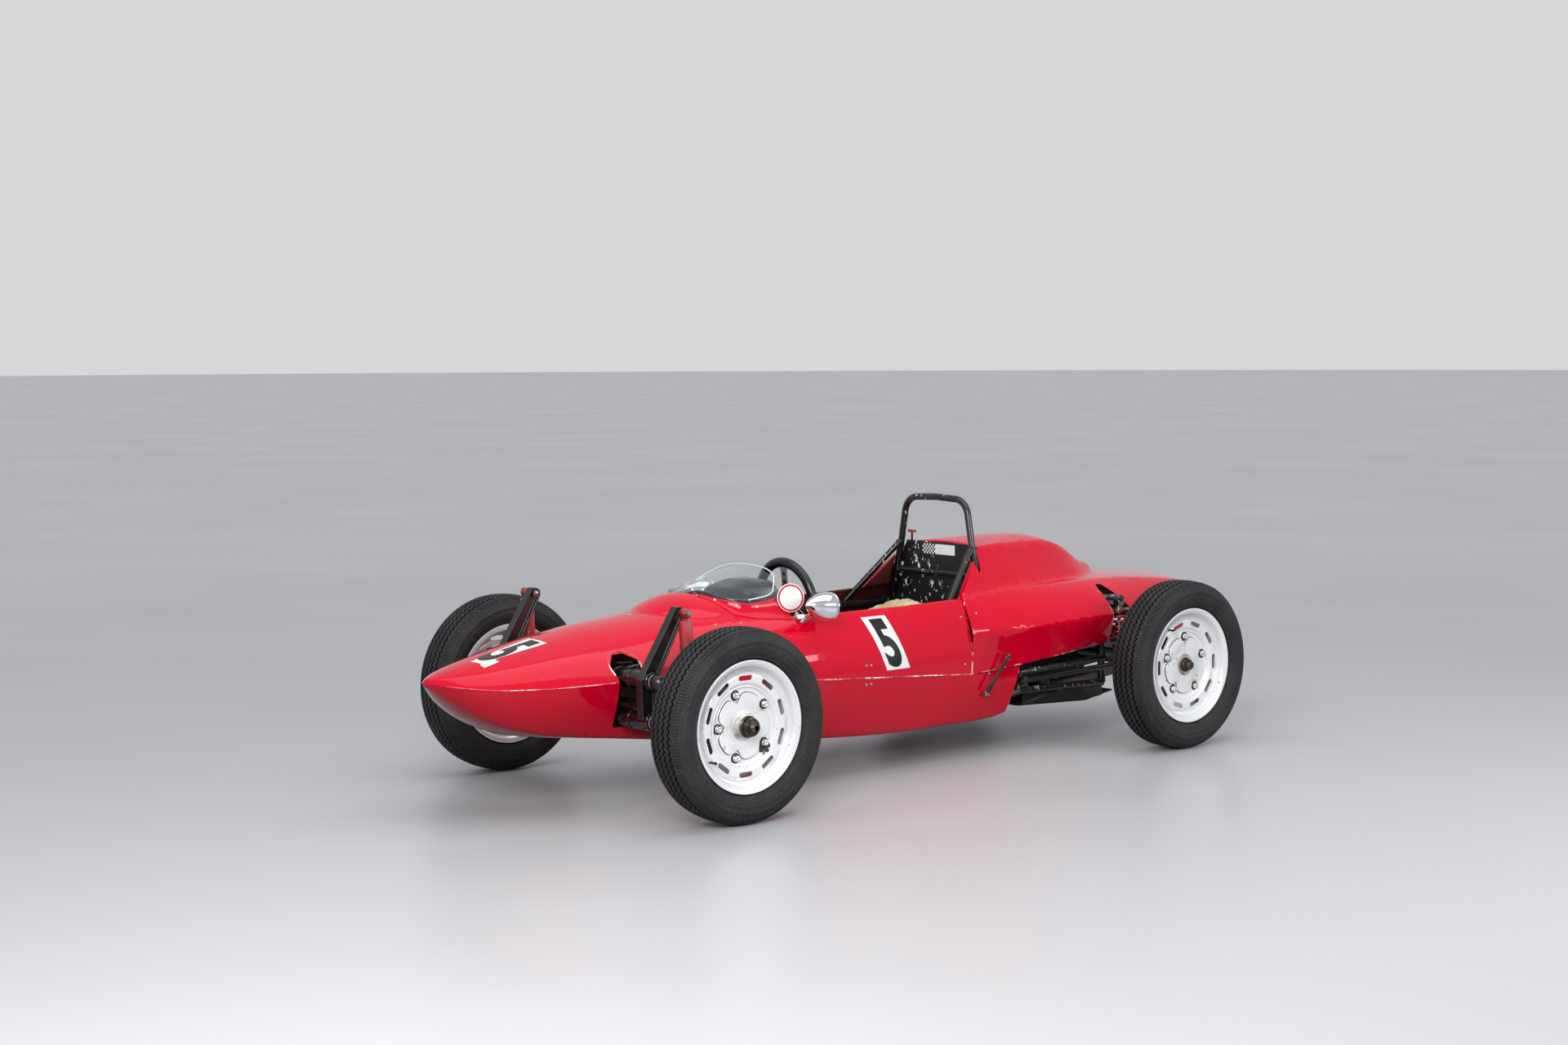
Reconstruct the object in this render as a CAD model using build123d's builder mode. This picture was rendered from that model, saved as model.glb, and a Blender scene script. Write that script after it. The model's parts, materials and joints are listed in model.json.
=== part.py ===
"""Open wheel racing car, single seat, in millimetres.

Frame: +X to the nose, +Y to the car's left, +Z up, origin on the ground midway between the axles.
"""

import os
from math import cos, radians, sin

from build123d import *

os.makedirs("parts", exist_ok=True)

# ---------------------------------------------------------------- driving dimensions
wheelbase = 2090
front_track = 1290
rear_track = 1270
overhang = 724          # from either axle to the end of the body
seam_gap = 0.6          # visible line between two body panels
seam_trim = 8           # the tub is made this much too high, then cut to the panels above it
panel = 5               # wall of the laminate shells with their rolled edges
fit_gap = 0.3           # between a piece and its seat
swing_gap = 6           # between pieces that move past each other

# wheels and tyres
tyre_r = 306
tyre_half = 75
tread_half = 54
tread_crown = 6
tyre_wall = 10
rim_flange_r = 207.5
rim_half = 57
bead_r = 190
rim_well_r = 172
rim_wall = 4
rim_disc_out = 22       # bolt face, outboard of the wheel's middle plane
bolt_circle_r = 102.5
bolt_count = 5
bolt_r = 7
vent_count = 10
vent_length = 54
vent_width = 16
vent_circle_r = 150
drum_r = 118
drum_depth = 60
spindle_r = 15
spindle_end_front = 88  # end of the spindle nut, outboard of the wheel's middle plane
spindle_end_rear = 57
spindle_reach = 30      # end of the stub axle inside the drum's hub

# front suspension and steering
beam_ahead = 160        # beam tubes ahead of the front axle
beam_tube_r = 30
beam_height = 432
beam_pitch = 126        # between the two beam tubes
kingpin_in = 100        # king pin inboard of the wheel's middle plane
kingpin_r = 11
arm_r = 13
tower_thick = 30
tower_wall = 4
steering_arm = 115
steering_lock = 25
tie_rod_r = 8
shaft_r = 10
steering_wheel_r = 142.5
steering_grip_r = 20
steering_centre = (293, 578)
steering_tilt = 6

# frame and roll hoop
rail_r = 14
bay_tube_r = 12
hoop_r = 12.5
brace_r = 11
hoop_top = 914
hoop_shoulder = (184, 745)
hoop_foot = (240, 515)

# rear suspension and drive
axle_tube_r = 28
coil_r = 36
damper_r = 16
backing_r = 124
backing_thick = 4

# ---------------------------------------------------------------- places worked out from them
half_base = wheelbase / 2
drawn_half_base = 1045  # the body tables are drawn for this half wheelbase


def at(x):
    """Carry a drawn station to the wheelbase in use; overhangs keep their length."""
    if abs(x) <= drawn_half_base:
        return x * half_base / drawn_half_base
    return x + (half_base - drawn_half_base) * (1 if x > 0 else -1)


front_axle = half_base
rear_axle = -half_base
nose_x = front_axle + overhang
tail_x = rear_axle - overhang
front_wheel_y = front_track / 2
rear_wheel_y = rear_track / 2
kingpin_y = front_wheel_y - kingpin_in
beam_x = front_axle + beam_ahead
beam_low = beam_height - beam_pitch
arm_end_top = tyre_r + beam_pitch / 2
arm_end_low = tyre_r - beam_pitch / 2
beam_end_y = kingpin_y - 120
tower_y = beam_end_y - tower_thick - 16
tie_rod_x = front_axle + steering_arm
tie_rod_z = tyre_r + 44
hoop_x = at(-430)
wheel_x = at(steering_centre[0])
wheel_z = steering_centre[1]
rail_top = 515
rail_y = 258

# body sections, from the nose back. Columns: station, top, shoulder y and z, seam y and z,
# side rise, bottom edge y and z, bottom middle z, low rise
front_sections = [
    (1769, 445, 8, 442, 14, 434, 0.5, 8, 428, 426, 0.5),
    (1700, 468, 62, 458, 112, 424, 5, 70, 375, 362, 4),
    (1600, 493, 100, 475, 182, 415, 10, 125, 310, 288, 9),
    (1450, 524, 135, 501, 245, 413, 16, 180, 262, 240, 11),
    (1240, 561, 165, 531, 300, 419, 18, 235, 235, 222, 10),
    (1000, 588, 190, 552, 325, 400, 22, 275, 210, 200, 8),
    (780, 604, 215, 572, 335, 380, 26, 290, 185, 175, 6),
    (400, 618, 262, 562, 345, 352, 22, 300, 150, 142, 6),
    (0, 622, 270, 562, 335, 325, 20, 295, 130, 122, 6),
    (-290, 626, 273, 566, 325, 304, 20, 285, 128, 120, 6),
    (-560, 626, 276, 570, 335, 322, 20, 298, 176, 168, 6),
]
nose_drawn = front_sections[0][0]
tub_end_x = front_sections[-1][0]
nose_grading = 1.5      # body stations stand closer together towards the nose
shell_end_x = -290

# raised scuttle ahead of the cockpit. Columns: station, top, edge y and z
scuttle_sections = [
    (975, 590, 30, 578),
    (890, 618, 150, 566),
    (811, 645, 208, 560),
    (720, 648, 226, 560),
    (600, 648, 240, 556),
]

# cockpit opening in plan. Columns: station, half width
cockpit_outline = [(762, 0), (745, 90), (700, 178), (640, 222), (509, 246), (288, 260), (-300, 265)]

# engine cover. Columns: station, deck middle, shoulder y and z, fold y and z, side rise,
# lower edge y and z, low rise
cover_sections = [
    (-291, 592, 274, 572, 334, 440, 8, 327, 305, -2),
    (-540, 600, 264, 588, 368, 455, 10, 338, 322, -4),
    (-834, 600, 250, 590, 388, 468, 14, 362, 354, 4),
    (-980, 598, 240, 590, 386, 475, 16, 352, 364, 6),
    (-1150, 594, 230, 585, 344, 470, 16, 320, 370, 6),
    (-1540, 566, 190, 550, 265, 440, 14, 240, 360, 6),
    (-1769, 518, 120, 502, 165, 425, 8, 145, 370, 4),
]
# raised fairing behind the driver. Columns: station, top, crease y and z, foot y
hump_sections = [
    (-270, 752, 184, 744, 276),
    (-430, 748, 184, 739, 262),
    (-600, 762, 165, 742, 244),
    (-770, 762, 140, 738, 218),
    (-900, 750, 120, 730, 190),
    (-1030, 700, 96, 684, 160),
    (-1190, 622, 50, 606, 92),
    (-1250, 596, 16, 586, 40),
]
hump_foot_z = 570


# ---------------------------------------------------------------- shared shapes
def bar(start, end, radius, mode=Mode.ADD):
    """Round bar between two points."""
    start, end = Vector(start), Vector(end)
    with BuildSketch(Plane(origin=start, z_dir=end - start)) as disc:
        Circle(radius)
    extrude(disc.sketch, amount=(end - start).length, mode=mode)


def bent_tube(points, bend, radius, mode=Mode.ADD):
    """Round tube along straight runs joined by bends."""
    with BuildLine() as run:
        FilletPolyline(*points, radius=bend)
    with BuildSketch(Plane(origin=run.line @ 0, z_dir=run.line % 0)) as disc:
        Circle(radius)
    sweep(disc.sketch, path=run.line, mode=mode)


def cope(start, end, radius):
    """Cut the seat that another tube needs, past both its ends."""
    start, end = Vector(start), Vector(end)
    past = (end - start).normalized() * radius
    bar(start - past, end + past, radius + fit_gap, mode=Mode.SUBTRACT)


def side_slab(points, y_low, y_high, mode=Mode.ADD):
    """Slab cut to an outline in X and Z, between two Y planes."""
    with BuildSketch(Plane.XZ.offset(-y_low)) as outline:
        with BuildLine():
            Polyline(*points, close=True)
        make_face()
    extrude(outline.sketch, amount=y_low - y_high, mode=mode)


def rise_point(start, end, rise):
    """Middle of an arc that stands off its chord, for a run from top to side to bottom."""
    (y1, z1), (y2, z2) = start, end
    length = ((y2 - y1) ** 2 + (z2 - z1) ** 2) ** 0.5
    return ((y1 + y2) / 2 - (z2 - z1) * rise / length, (z1 + z2) / 2 + (y2 - y1) * rise / length)


def flip(point):
    return (-point[0], point[1])


def shell_section(station, runs, middle, skirt):
    """Closed cross-section, symmetric left and right.

    middle is the point on the centre line, runs are (start, end, rise) down the left side, and
    skirt is how far the section goes on past its last point, to open a shell there.
    """
    last = runs[-1][1]
    with BuildSketch(Plane.YZ.offset(station)) as section:
        with BuildLine():
            ThreePointArc(flip(runs[0][0]), (0, middle), runs[0][0])
            for start, end, rise in runs:
                ThreePointArc(start, rise_point(start, end, rise), end)
                ThreePointArc(flip(start), flip(rise_point(start, end, rise)), flip(end))
            if skirt:
                foot = (last[0], last[1] + skirt)
                Line(last, foot)
                Line(flip(last), flip(foot))
                Line(foot, flip(foot))
            else:
                Line(last, flip(last))
        make_face()
    return section.sketch


def slope(x0, x1, x2, y0, y1, y2):
    """Slope at the middle of three points that keeps a curve from overshooting."""
    left, right = (y1 - y0) / (x1 - x0), (y2 - y1) / (x2 - x1)
    if left * right <= 0:
        return 0
    return 2 * left * right / (left + right)


def between(rows, x):
    """Row of a section table at any station, on a smooth curve through each column."""
    last = len(rows) - 1
    i = min(max(n for n in range(last) if x <= rows[n][0] or n == 0), last - 1)
    x0, x1 = rows[i][0], rows[i + 1][0]
    t = (x - x0) / (x1 - x0)
    values = []
    for c in range(1, len(rows[0])):
        y0, y1 = rows[i][c], rows[i + 1][c]
        chord = (y1 - y0) / (x1 - x0)
        m0 = slope(rows[i - 1][0], x0, x1, rows[i - 1][c], y0, y1) if i > 0 else chord
        m1 = slope(x0, x1, rows[i + 2][0], y0, y1, rows[i + 2][c]) if i + 2 <= last else chord
        a, b = m0 * (x1 - x0), m1 * (x1 - x0)
        values.append(y0 + a * t + (3 * (y1 - y0) - 2 * a - b) * t ** 2
                      + (a + b - 2 * (y1 - y0)) * t ** 3)
    return values


def stations(first, last, count, grading=1.0):
    """Stations that start close together and open out evenly."""
    return [first + (last - first) * (i / (count - 1)) ** grading for i in range(count)]


def upper_loft(inset, mode=Mode.ADD):
    """Body above the seam; an inset makes the inside of its shell."""
    sections = []
    for x in stations(nose_drawn - 4 * max(inset, 0), tub_end_x, 15, nose_grading):
        top, ys, zs, yc, zc, rise = between(front_sections, x)[:6]
        runs = [((ys - inset, zs - inset), (yc - inset, zc), rise)]
        sections.append(shell_section(at(x), runs, top - inset, -40 if inset > 0 else 0))
    loft(sections, mode=mode)


def lower_loft(inset, mode=Mode.ADD):
    """Body below the seam."""
    sections = []
    for x in stations(nose_drawn - 4 * inset, tub_end_x, 15, nose_grading):
        yc, zc, _, yb, zb, middle, rise = between(front_sections, x)[3:]
        seam, bottom = (yc - inset, zc), (yb - inset, zb + inset)
        lid = (seam[0], seam[1] + 40) if inset else (seam[0] - 1.2 * seam_trim, seam[1] + seam_trim)
        bulge = rise_point(seam, bottom, rise)
        with BuildSketch(Plane.YZ.offset(at(x))) as section:
            with BuildLine():
                ThreePointArc(seam, bulge, bottom)
                ThreePointArc(flip(seam), flip(bulge), flip(bottom))
                ThreePointArc(bottom, (0, middle + inset), flip(bottom))
                Line(seam, lid)
                Line(flip(seam), flip(lid))
                Line(lid, flip(lid))
            make_face()
        sections.append(section.sketch)
    loft(sections, mode=mode)


def scuttle_loft(inset, mode=Mode.ADD):
    """Raised scuttle, standing on the body ahead of the cockpit."""
    sections = []
    for x in stations(scuttle_sections[0][0], scuttle_sections[-1][0], 5):
        top, y, z = between(scuttle_sections, x)
        edge, foot = (y - inset, z), (y - inset, z - 60)
        with BuildSketch(Plane.YZ.offset(at(x))) as section:
            with BuildLine():
                ThreePointArc(flip(edge), (0, top - inset), edge)
                Line(edge, foot)
                Line(foot, flip(foot))
                Line(flip(foot), flip(edge))
            make_face()
        sections.append(section.sketch)
    loft(sections, mode=mode)


def cover_loft(inset, mode=Mode.ADD):
    """Engine cover, from the cockpit to the tail."""
    sections = []
    first, last = cover_sections[0][0], cover_sections[-1][0]
    for x in stations(first + inset, last + inset, 12):
        deck, ys, zs, yf, zf, rise, yb, zb, low = between(cover_sections, min(x, first))
        shoulder, fold, edge = (ys - inset, zs - inset), (yf - inset, zf), (yb - inset, zb)
        runs = [(shoulder, fold, rise), (fold, edge, low)]
        sections.append(shell_section(at(x), runs, deck - inset, -60 if inset else 0))
    loft(sections, mode=mode)


def hump_loft(inset, mode=Mode.ADD):
    """Fairing behind the driver, standing on the engine cover."""
    sections = []
    for x in stations(hump_sections[0][0], hump_sections[-1][0] + 3 * inset, 9):
        top, y, z, foot = between(hump_sections, x)
        low = (foot - inset, hump_foot_z - (40 if inset else 0))
        crease = (y - inset, z - inset)
        with BuildSketch(Plane.YZ.offset(at(x))) as section:
            with BuildLine():
                ThreePointArc(flip(crease), (0, top - inset), crease)
                Line(crease, low)
                Line(low, flip(low))
                Line(flip(low), flip(crease))
            make_face()
        sections.append(section.sketch)
    loft(sections, mode=mode)


def save(name, part):
    part.label = name
    export_step(part, f"parts/{name}.step")


sides = (("left", 1), ("right", -1))

# ---------------------------------------------------------------- body panels
slot_front = beam_x + beam_tube_r + 7
slot_back = tie_rod_x - tie_rod_r - swing_gap - 1
slot_top = beam_height + 68
slot_low = beam_low - beam_tube_r - 5


def beam_slot():
    """Way through both sides of the body for the front beam and the tie rods."""
    with BuildSketch(Plane.XZ) as outline:
        with BuildLine():
            Polyline((slot_front, slot_low), (slot_front, beam_height), (slot_front + 10, slot_top - 30),
                     (slot_front - 18, slot_top), (beam_x - 20, slot_top + 3), (slot_back, slot_top - 20),
                     (slot_back, slot_low), close=True)
        make_face()
        fillet(outline.vertices(), 10)
    extrude(outline.sketch, amount=400, both=True, mode=Mode.SUBTRACT)


with BuildPart() as front_body_shell:
    upper_loft(0)
    scuttle_loft(0)
    upper_loft(panel, mode=Mode.SUBTRACT)
    scuttle_loft(panel, mode=Mode.SUBTRACT)
    with BuildSketch(Plane.XY.offset(500)):
        with BuildLine():
            edge = [(at(x), y) for x, y in cockpit_outline]
            Polyline(*edge, *[(x, -y) for x, y in reversed(edge[1:])], close=True)
        make_face()
    extrude(amount=300, mode=Mode.SUBTRACT)
    beam_slot()
    side_slab([(at(shell_end_x), 200), (at(shell_end_x), 700), (at(-700), 700), (at(-700), 200)],
              -450, 450, mode=Mode.SUBTRACT)
save("front_body_shell", front_body_shell.part)

with BuildPart() as upper_mass:
    upper_loft(-seam_trim)

with BuildPart() as lower_tub:
    lower_loft(0)
    lower_loft(panel, mode=Mode.SUBTRACT)
    add(upper_mass.part.moved(Location((0, 0, -seam_gap))), mode=Mode.SUBTRACT)
    beam_slot()
    side_slab([(at(-533), 400), (at(-533), 322), (at(-490), 100), (at(-700), 100), (at(-700), 400)],
              -450, 450, mode=Mode.SUBTRACT)
save("lower_tub", lower_tub.part)

hoop_line = [(hoop_x, hoop_shoulder[0], hoop_shoulder[1]), (hoop_x, hoop_foot[0], hoop_foot[1])]
cover_front_low = (at(-294), 569)
cover_front_top = (at(-475), 752)

with BuildPart() as engine_cover:
    cover_loft(0)
    hump_loft(0)
    cover_loft(panel, mode=Mode.SUBTRACT)
    hump_loft(panel, mode=Mode.SUBTRACT)
    side_slab([cover_front_low, cover_front_top, (at(-475), 800), (at(-200), 800), (at(-200), 560),
               (at(-294), 560)], -300, 300, mode=Mode.SUBTRACT)
    # side openings for the spring, the axle and its travel
    for name, side in sides:
        side_slab([(at(-970), 340), (at(-970), 555), (at(-985), 574), (at(-1015), 574), (at(-1100), 482),
                   (at(-1140), 340)], min(side * 170, side * 450), max(side * 170, side * 450),
                  mode=Mode.SUBTRACT)
        start, end = Vector(*hoop_line[0]), Vector(*hoop_line[1])
        run = (end - start).normalized() * 60
        start, end = start - run, end + run
        bar((start.X, side * start.Y, start.Z), (end.X, side * end.Y, end.Z), hoop_r + 4,
            mode=Mode.SUBTRACT)
save("engine_cover", engine_cover.part)


# ---------------------------------------------------------------- cockpit
screen_sections = [
    # station, side half width, side z, middle z
    (768, 30, 646, 650),
    (700, 150, 640, 668),
    (637, 205, 626, 684),
    (540, 218, 640, 706),
    (478, 150, 690, 721),
]
screen_wall = 3


def screen_loft(inset, mode=Mode.ADD):
    """Windscreen bubble; the inset makes its inside."""
    sections = []
    for x in stations(screen_sections[0][0] - 2 * inset, screen_sections[-1][0] - 2 * inset, 6):
        y, z, middle = between(screen_sections, max(x, screen_sections[-1][0]))
        with BuildSketch(Plane.YZ.offset(at(x))) as section:
            with BuildLine():
                edge, foot = (y - inset, z), (y - inset, z - 60)
                ThreePointArc(flip(edge), (0, middle - inset), edge)
                Line(edge, foot)
                Line(foot, flip(foot))
                Line(flip(foot), flip(edge))
            make_face()
        sections.append(section.sketch)
    loft(sections, mode=mode)


with BuildPart() as windscreen:
    screen_loft(0)
    screen_loft(screen_wall, mode=Mode.SUBTRACT)
    # trimmed along the scuttle and the cockpit's edge
    side_slab([(at(900), 500), (at(900), 646), (at(768), 646), (at(640), 612), (at(520), 630), (at(440), 690),
               (at(400), 500)], -300, 300, mode=Mode.SUBTRACT)
    add(front_body_shell.part.moved(Location((0, 0, fit_gap))), mode=Mode.SUBTRACT)
save("windscreen", windscreen.part)

hood_base = 606
hood_half = 130
hood_top = 681
hood_rear = 419
hood_wall = 4
dial_panel_x = 428


hood_profile = [(475, hood_top), (520, 677), (565, 650), (592, hood_base)]


def hood_block(inset, start, end):
    """Dome in the outline of the instrument hood, cut to its side view."""
    half, low = hood_half - inset, hood_base - inset
    with BuildSketch(Plane.YZ.offset(start)) as arch:
        with BuildLine():
            ThreePointArc((-half, low), (0, hood_top - inset), (half, low))
            Line((half, low), (-half, low))
        make_face()
    with BuildPart() as block:
        extrude(arch.sketch, amount=end - start)
        front = [(at(x) - inset, z - inset) for x, z in hood_profile]
        side_slab([(start, low), (start, 668 - inset), *front], -200, 200, mode=Mode.INTERSECT)
    return block.part


with BuildPart() as instrument_hood:
    add(hood_block(0, at(hood_rear), at(600)))
    add(hood_block(hood_wall, at(hood_rear) - 10, at(600)), mode=Mode.SUBTRACT)
    # plate that carries the dials, against the inside of the hood
    add(hood_block(hood_wall / 2, at(dial_panel_x), at(dial_panel_x) + hood_wall))
save("instrument_hood", instrument_hood.part)


def tub_floor(x):
    """Height of the tub's inside floor, by its edge."""
    return between(front_sections, x)[8] + panel + 4


# the seat is an L in side view; its base follows the tub's floor
seat_half = 190
with BuildPart() as seat:
    side_slab([(at(-345), 540), (at(-305), 560), (at(-262), 548), (at(-70), 240), (at(60), 205), (at(290), 222),
               (at(312), 205), (at(308), tub_floor(308)), (at(0), tub_floor(0)), (at(-140), tub_floor(-140)),
               (at(-170), 190)], -seat_half, seat_half)
    fillet(seat.edges().filter_by(Axis.Y).group_by(Axis.Z)[-1], 14)
save("seat", seat.part)

# ---------------------------------------------------------------- frame
slope_x, slope_z = cos(radians(steering_tilt)), -sin(radians(steering_tilt))


def shaft_point(run):
    """Point on the steering shaft's line, ahead of the steering wheel's centre."""
    return (wheel_x + slope_x * run, 0, wheel_z + slope_z * run)


pad_x = beam_x - beam_tube_r - 36     # rear face of the pads that join the beam to the frame
pad_y = 150
dash_x = at(500)
dash_z = hood_base - bay_tube_r - fit_gap
strut_x = at(-1000)
spring_x = rear_axle + 10
spring_y = 350
spring_top = 525
bay_y = 300
main_rail = [(pad_x + 8, pad_y, beam_low - 30), (at(780), 225, 214), (at(400), 250, 177), (at(0), 255, 162),
             (at(-420), 258, 178), (at(-560), 290, 216), (strut_x, bay_y, 208)]
upper_rail = [(pad_x + 8, pad_y, beam_height), (at(780), 200, 500), (at(560), 240, rail_top),
              (hoop_x, rail_y, rail_top), (strut_x, 285, spring_top)]

with BuildPart() as chassis_frame:
    for name, side in sides:
        for run in (main_rail, upper_rail):
            bent_tube([(x, side * y, z) for x, y, z in run], 40, rail_r)
        bar((hoop_x, side * rail_y, rail_top), (hoop_x, side * 258, 178), rail_r)
        bar((at(560), side * 240, rail_top), (at(560), side * 238, 195), bay_tube_r)
        bar((strut_x, side * bay_y, 208), (strut_x, side * 285, spring_top), rail_r)
        bar((at(-560), side * 290, 216), (at(-560), side * bay_y, 285), bay_tube_r)
        bar((at(-560), side * bay_y, 285), (strut_x, side * bay_y, 302), bay_tube_r)
        # arch that carries the gearbox from above
        bar((strut_x, side * 285, spring_top), (spring_x, side * 285, spring_top), rail_r)
        bar((spring_x, side * 285, spring_top), (at(-1330), side * 60, 470), rail_r)
        # feet that hold the tub
        for x in (560, -420):
            with Locations((at(x), side * 240, tub_floor(x) + 12)):
                Box(40, 30, 30, align=(Align.CENTER, Align.CENTER, Align.MIN))
    bar((at(-1330), -60, 470), (at(-1330), 60, 470), rail_r)
    bar((spring_x, -spring_y - 16, spring_top), (spring_x, spring_y + 16, spring_top), bay_tube_r)
    bar((hoop_x, -258, 178), (hoop_x, 258, 178), rail_r)
    bar((at(560), -238, 195), (at(560), 238, 195), bay_tube_r)
    bar((strut_x, -285, spring_top), (strut_x, 285, spring_top), bay_tube_r)
    # dash hoop with the steering shaft's bearing
    bar((dash_x, -241, rail_top), (dash_x, -160, dash_z), bay_tube_r)
    bar((dash_x, 241, rail_top), (dash_x, 160, dash_z), bay_tube_r)
    bar((dash_x, -160, dash_z), (dash_x, 160, dash_z), bay_tube_r)
    with Locations((dash_x, 0, dash_z)):
        Box(8, 50, 70, align=(Align.CENTER, Align.CENTER, Align.MAX))
    bar(shaft_point(0), shaft_point(600), shaft_r + fit_gap, mode=Mode.SUBTRACT)
    with Locations((pad_x - fit_gap, 0, tyre_r)):
        Box(60, 600, 500, align=(Align.MIN, Align.CENTER, Align.CENTER), mode=Mode.SUBTRACT)
save("chassis_frame", chassis_frame.part)

hoop_top_half = 158
with BuildPart() as roll_hoop:
    with BuildLine() as hoop_run:
        FilletPolyline((hoop_x, -hoop_foot[0], hoop_foot[1]), (hoop_x, -hoop_shoulder[0], hoop_shoulder[1]),
                       (hoop_x, -hoop_top_half + 4, hoop_top - 6), (hoop_x, 0, hoop_top),
                       (hoop_x, hoop_top_half - 4, hoop_top - 6), (hoop_x, hoop_shoulder[0], hoop_shoulder[1]),
                       (hoop_x, hoop_foot[0], hoop_foot[1]), radius=(90, 66, 200, 66, 90))
    with BuildSketch(Plane(origin=hoop_run.line @ 0, z_dir=hoop_run.line % 0)):
        Circle(hoop_r)
    sweep(path=hoop_run.line)
    bar((hoop_x, -204, 636), (hoop_x, 204, 636), 11)
    for name, side in sides:
        bar((hoop_x, side * hoop_shoulder[0], hoop_shoulder[1]), (at(-212), side * 262, 522), brace_r)
        # the feet are coped to the frame's upper rail
        cope((at(560), side * 240, rail_top), (hoop_x, side * rail_y, rail_top), rail_r)
        cope((hoop_x, side * rail_y, rail_top), (strut_x, side * 285, spring_top), rail_r)
    with Locations((hoop_x, 0, rail_top)):
        Box(700, 700, 30, align=(Align.CENTER, Align.CENTER, Align.MAX), mode=Mode.SUBTRACT)
save("roll_hoop", roll_hoop.part)

panel_x = hoop_x - hoop_r - fit_gap
panel_thick = 3
panel_outline = [(167, 746), (176, 728), (216.8, 631), (228, 540), (228, 200), (0, 190)]
with BuildPart() as firewall_panel:
    with BuildSketch(Plane.YZ.offset(panel_x)):
        with BuildLine():
            Polyline(*panel_outline, *[flip(point) for point in reversed(panel_outline[:-1])], close=True)
        make_face()
    extrude(amount=-panel_thick)
save("firewall_panel", firewall_panel.part)

with BuildPart() as pull_knob:
    knob_x = panel_x - panel_thick - 4 - fit_gap
    bar((knob_x, -149, 690), (knob_x, -149, 778), 4)
    bar((knob_x, -167, 779), (knob_x, -131, 779), 5)
save("pull_knob", pull_knob.part)

# ---------------------------------------------------------------- front suspension and steering
tower_foot = beam_low - 23
tower_eye = (front_axle + 40, 638)
tower_eye_r = 20
tower_profile = [(beam_x - 26, tower_foot), (beam_x + 28, tower_foot), (beam_x + 34, beam_height + 6),
                 (tower_eye[0] + 19, tower_eye[1] + 8), (tower_eye[0] - 17, tower_eye[1] - 10),
                 (beam_x - 24, beam_height - 10)]
with BuildPart() as front_beam:
    for z in (beam_height, beam_low):
        bar((beam_x, -beam_end_y, z), (beam_x, beam_end_y, z), beam_tube_r)
        for side in (1, -1):
            with Locations((beam_x - beam_tube_r + 8, side * pad_y, z)):
                Box(44, 40, 44, align=(Align.MAX, Align.CENTER, Align.CENTER))
    for name, side in sides:
        low, high = sorted((side * tower_y, side * (tower_y + tower_thick)))
        side_slab(tower_profile, low, high)
        with BuildSketch(Plane.XZ.offset(-low)):
            with Locations(tower_eye):
                Circle(tower_eye_r)
        extrude(amount=low - high)
save("front_beam", front_beam.part)

arm_y = beam_end_y + 42
for name, side in sides:
    with BuildPart() as front_arms:
        for start_z, end_z in ((beam_height, arm_end_top), (beam_low, arm_end_low)):
            bar((beam_x, side * (beam_end_y + fit_gap), start_z), (beam_x, side * (arm_y + arm_r), start_z), 24)
            bar((beam_x, side * arm_y, start_z), (front_axle, side * arm_y, end_z), arm_r)
            bar((front_axle, side * arm_y, end_z), (front_axle, side * kingpin_y, end_z), arm_r - 1)
            bar((front_axle, side * kingpin_y, end_z - 18), (front_axle, side * kingpin_y, end_z + 18), 19)
        bar((front_axle, side * kingpin_y, arm_end_low), (front_axle, side * kingpin_y, arm_end_top), kingpin_r)
    save(f"front_arms_{name}", front_arms.part)

shock_y = tower_y + tower_thick + 25
shock_low = (front_axle + 20, arm_end_low + 8)
for name, side in sides:
    with BuildPart() as front_shock:
        low = Vector(shock_low[0], side * shock_y, shock_low[1])
        top = Vector(tower_eye[0], side * shock_y, tower_eye[1])
        run = (top - low).normalized()
        bar(low, top, 8)
        bar(low + run * 30, low + run * 190, 19)
        bar(low + run * 170, top - run * 22, 22)
        for eye in (low, top):
            bar(eye - Vector(0, 14, 0), eye + Vector(0, 14, 0), 15)
        bar(top, (top.X, side * (tower_y + tower_thick + fit_gap), top.Z), 7)
        bar(low, (low.X, side * (arm_y - arm_r + 2), low.Z), 7)
        cope((beam_x, side * arm_y, beam_low), (front_axle, side * arm_y, arm_end_low), arm_r)
    save(f"front_shock_{name}", front_shock.part)

arm_tip_y = kingpin_y - 5
steering_arm_z = tie_rod_z - 20
for name, side in sides:
    with BuildPart() as knuckle:
        pin = (front_axle, side * kingpin_y)
        bar((*pin, arm_end_low + 18 + swing_gap), (*pin, arm_end_top - 18 - swing_gap), 23)
        bar((front_axle, side * (kingpin_y + 12), tyre_r),
            (front_axle, side * (front_wheel_y + spindle_reach), tyre_r), spindle_r)
        bar((front_axle, side * (front_wheel_y - drum_depth + 8), tyre_r),
            (front_axle, side * (front_wheel_y - drum_depth + 12), tyre_r), backing_r)
        bar((*pin, steering_arm_z), (tie_rod_x, side * arm_tip_y, steering_arm_z), 9)
        bar((tie_rod_x, side * arm_tip_y, steering_arm_z - 9), (tie_rod_x, side * arm_tip_y, steering_arm_z + 9), 14)
        bar((*pin, arm_end_low), (*pin, arm_end_top), kingpin_r + fit_gap, mode=Mode.SUBTRACT)
    save(f"knuckle_{name}", knuckle.part)

with BuildPart() as tie_rods:
    bar((tie_rod_x, -arm_tip_y, tie_rod_z), (tie_rod_x, arm_tip_y, tie_rod_z), tie_rod_r)
    for side in (1, -1):
        bar((tie_rod_x, side * arm_tip_y, tie_rod_z - 10.4), (tie_rod_x, side * arm_tip_y, tie_rod_z + 10), 13)
save("tie_rods", tie_rods.part)

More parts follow.
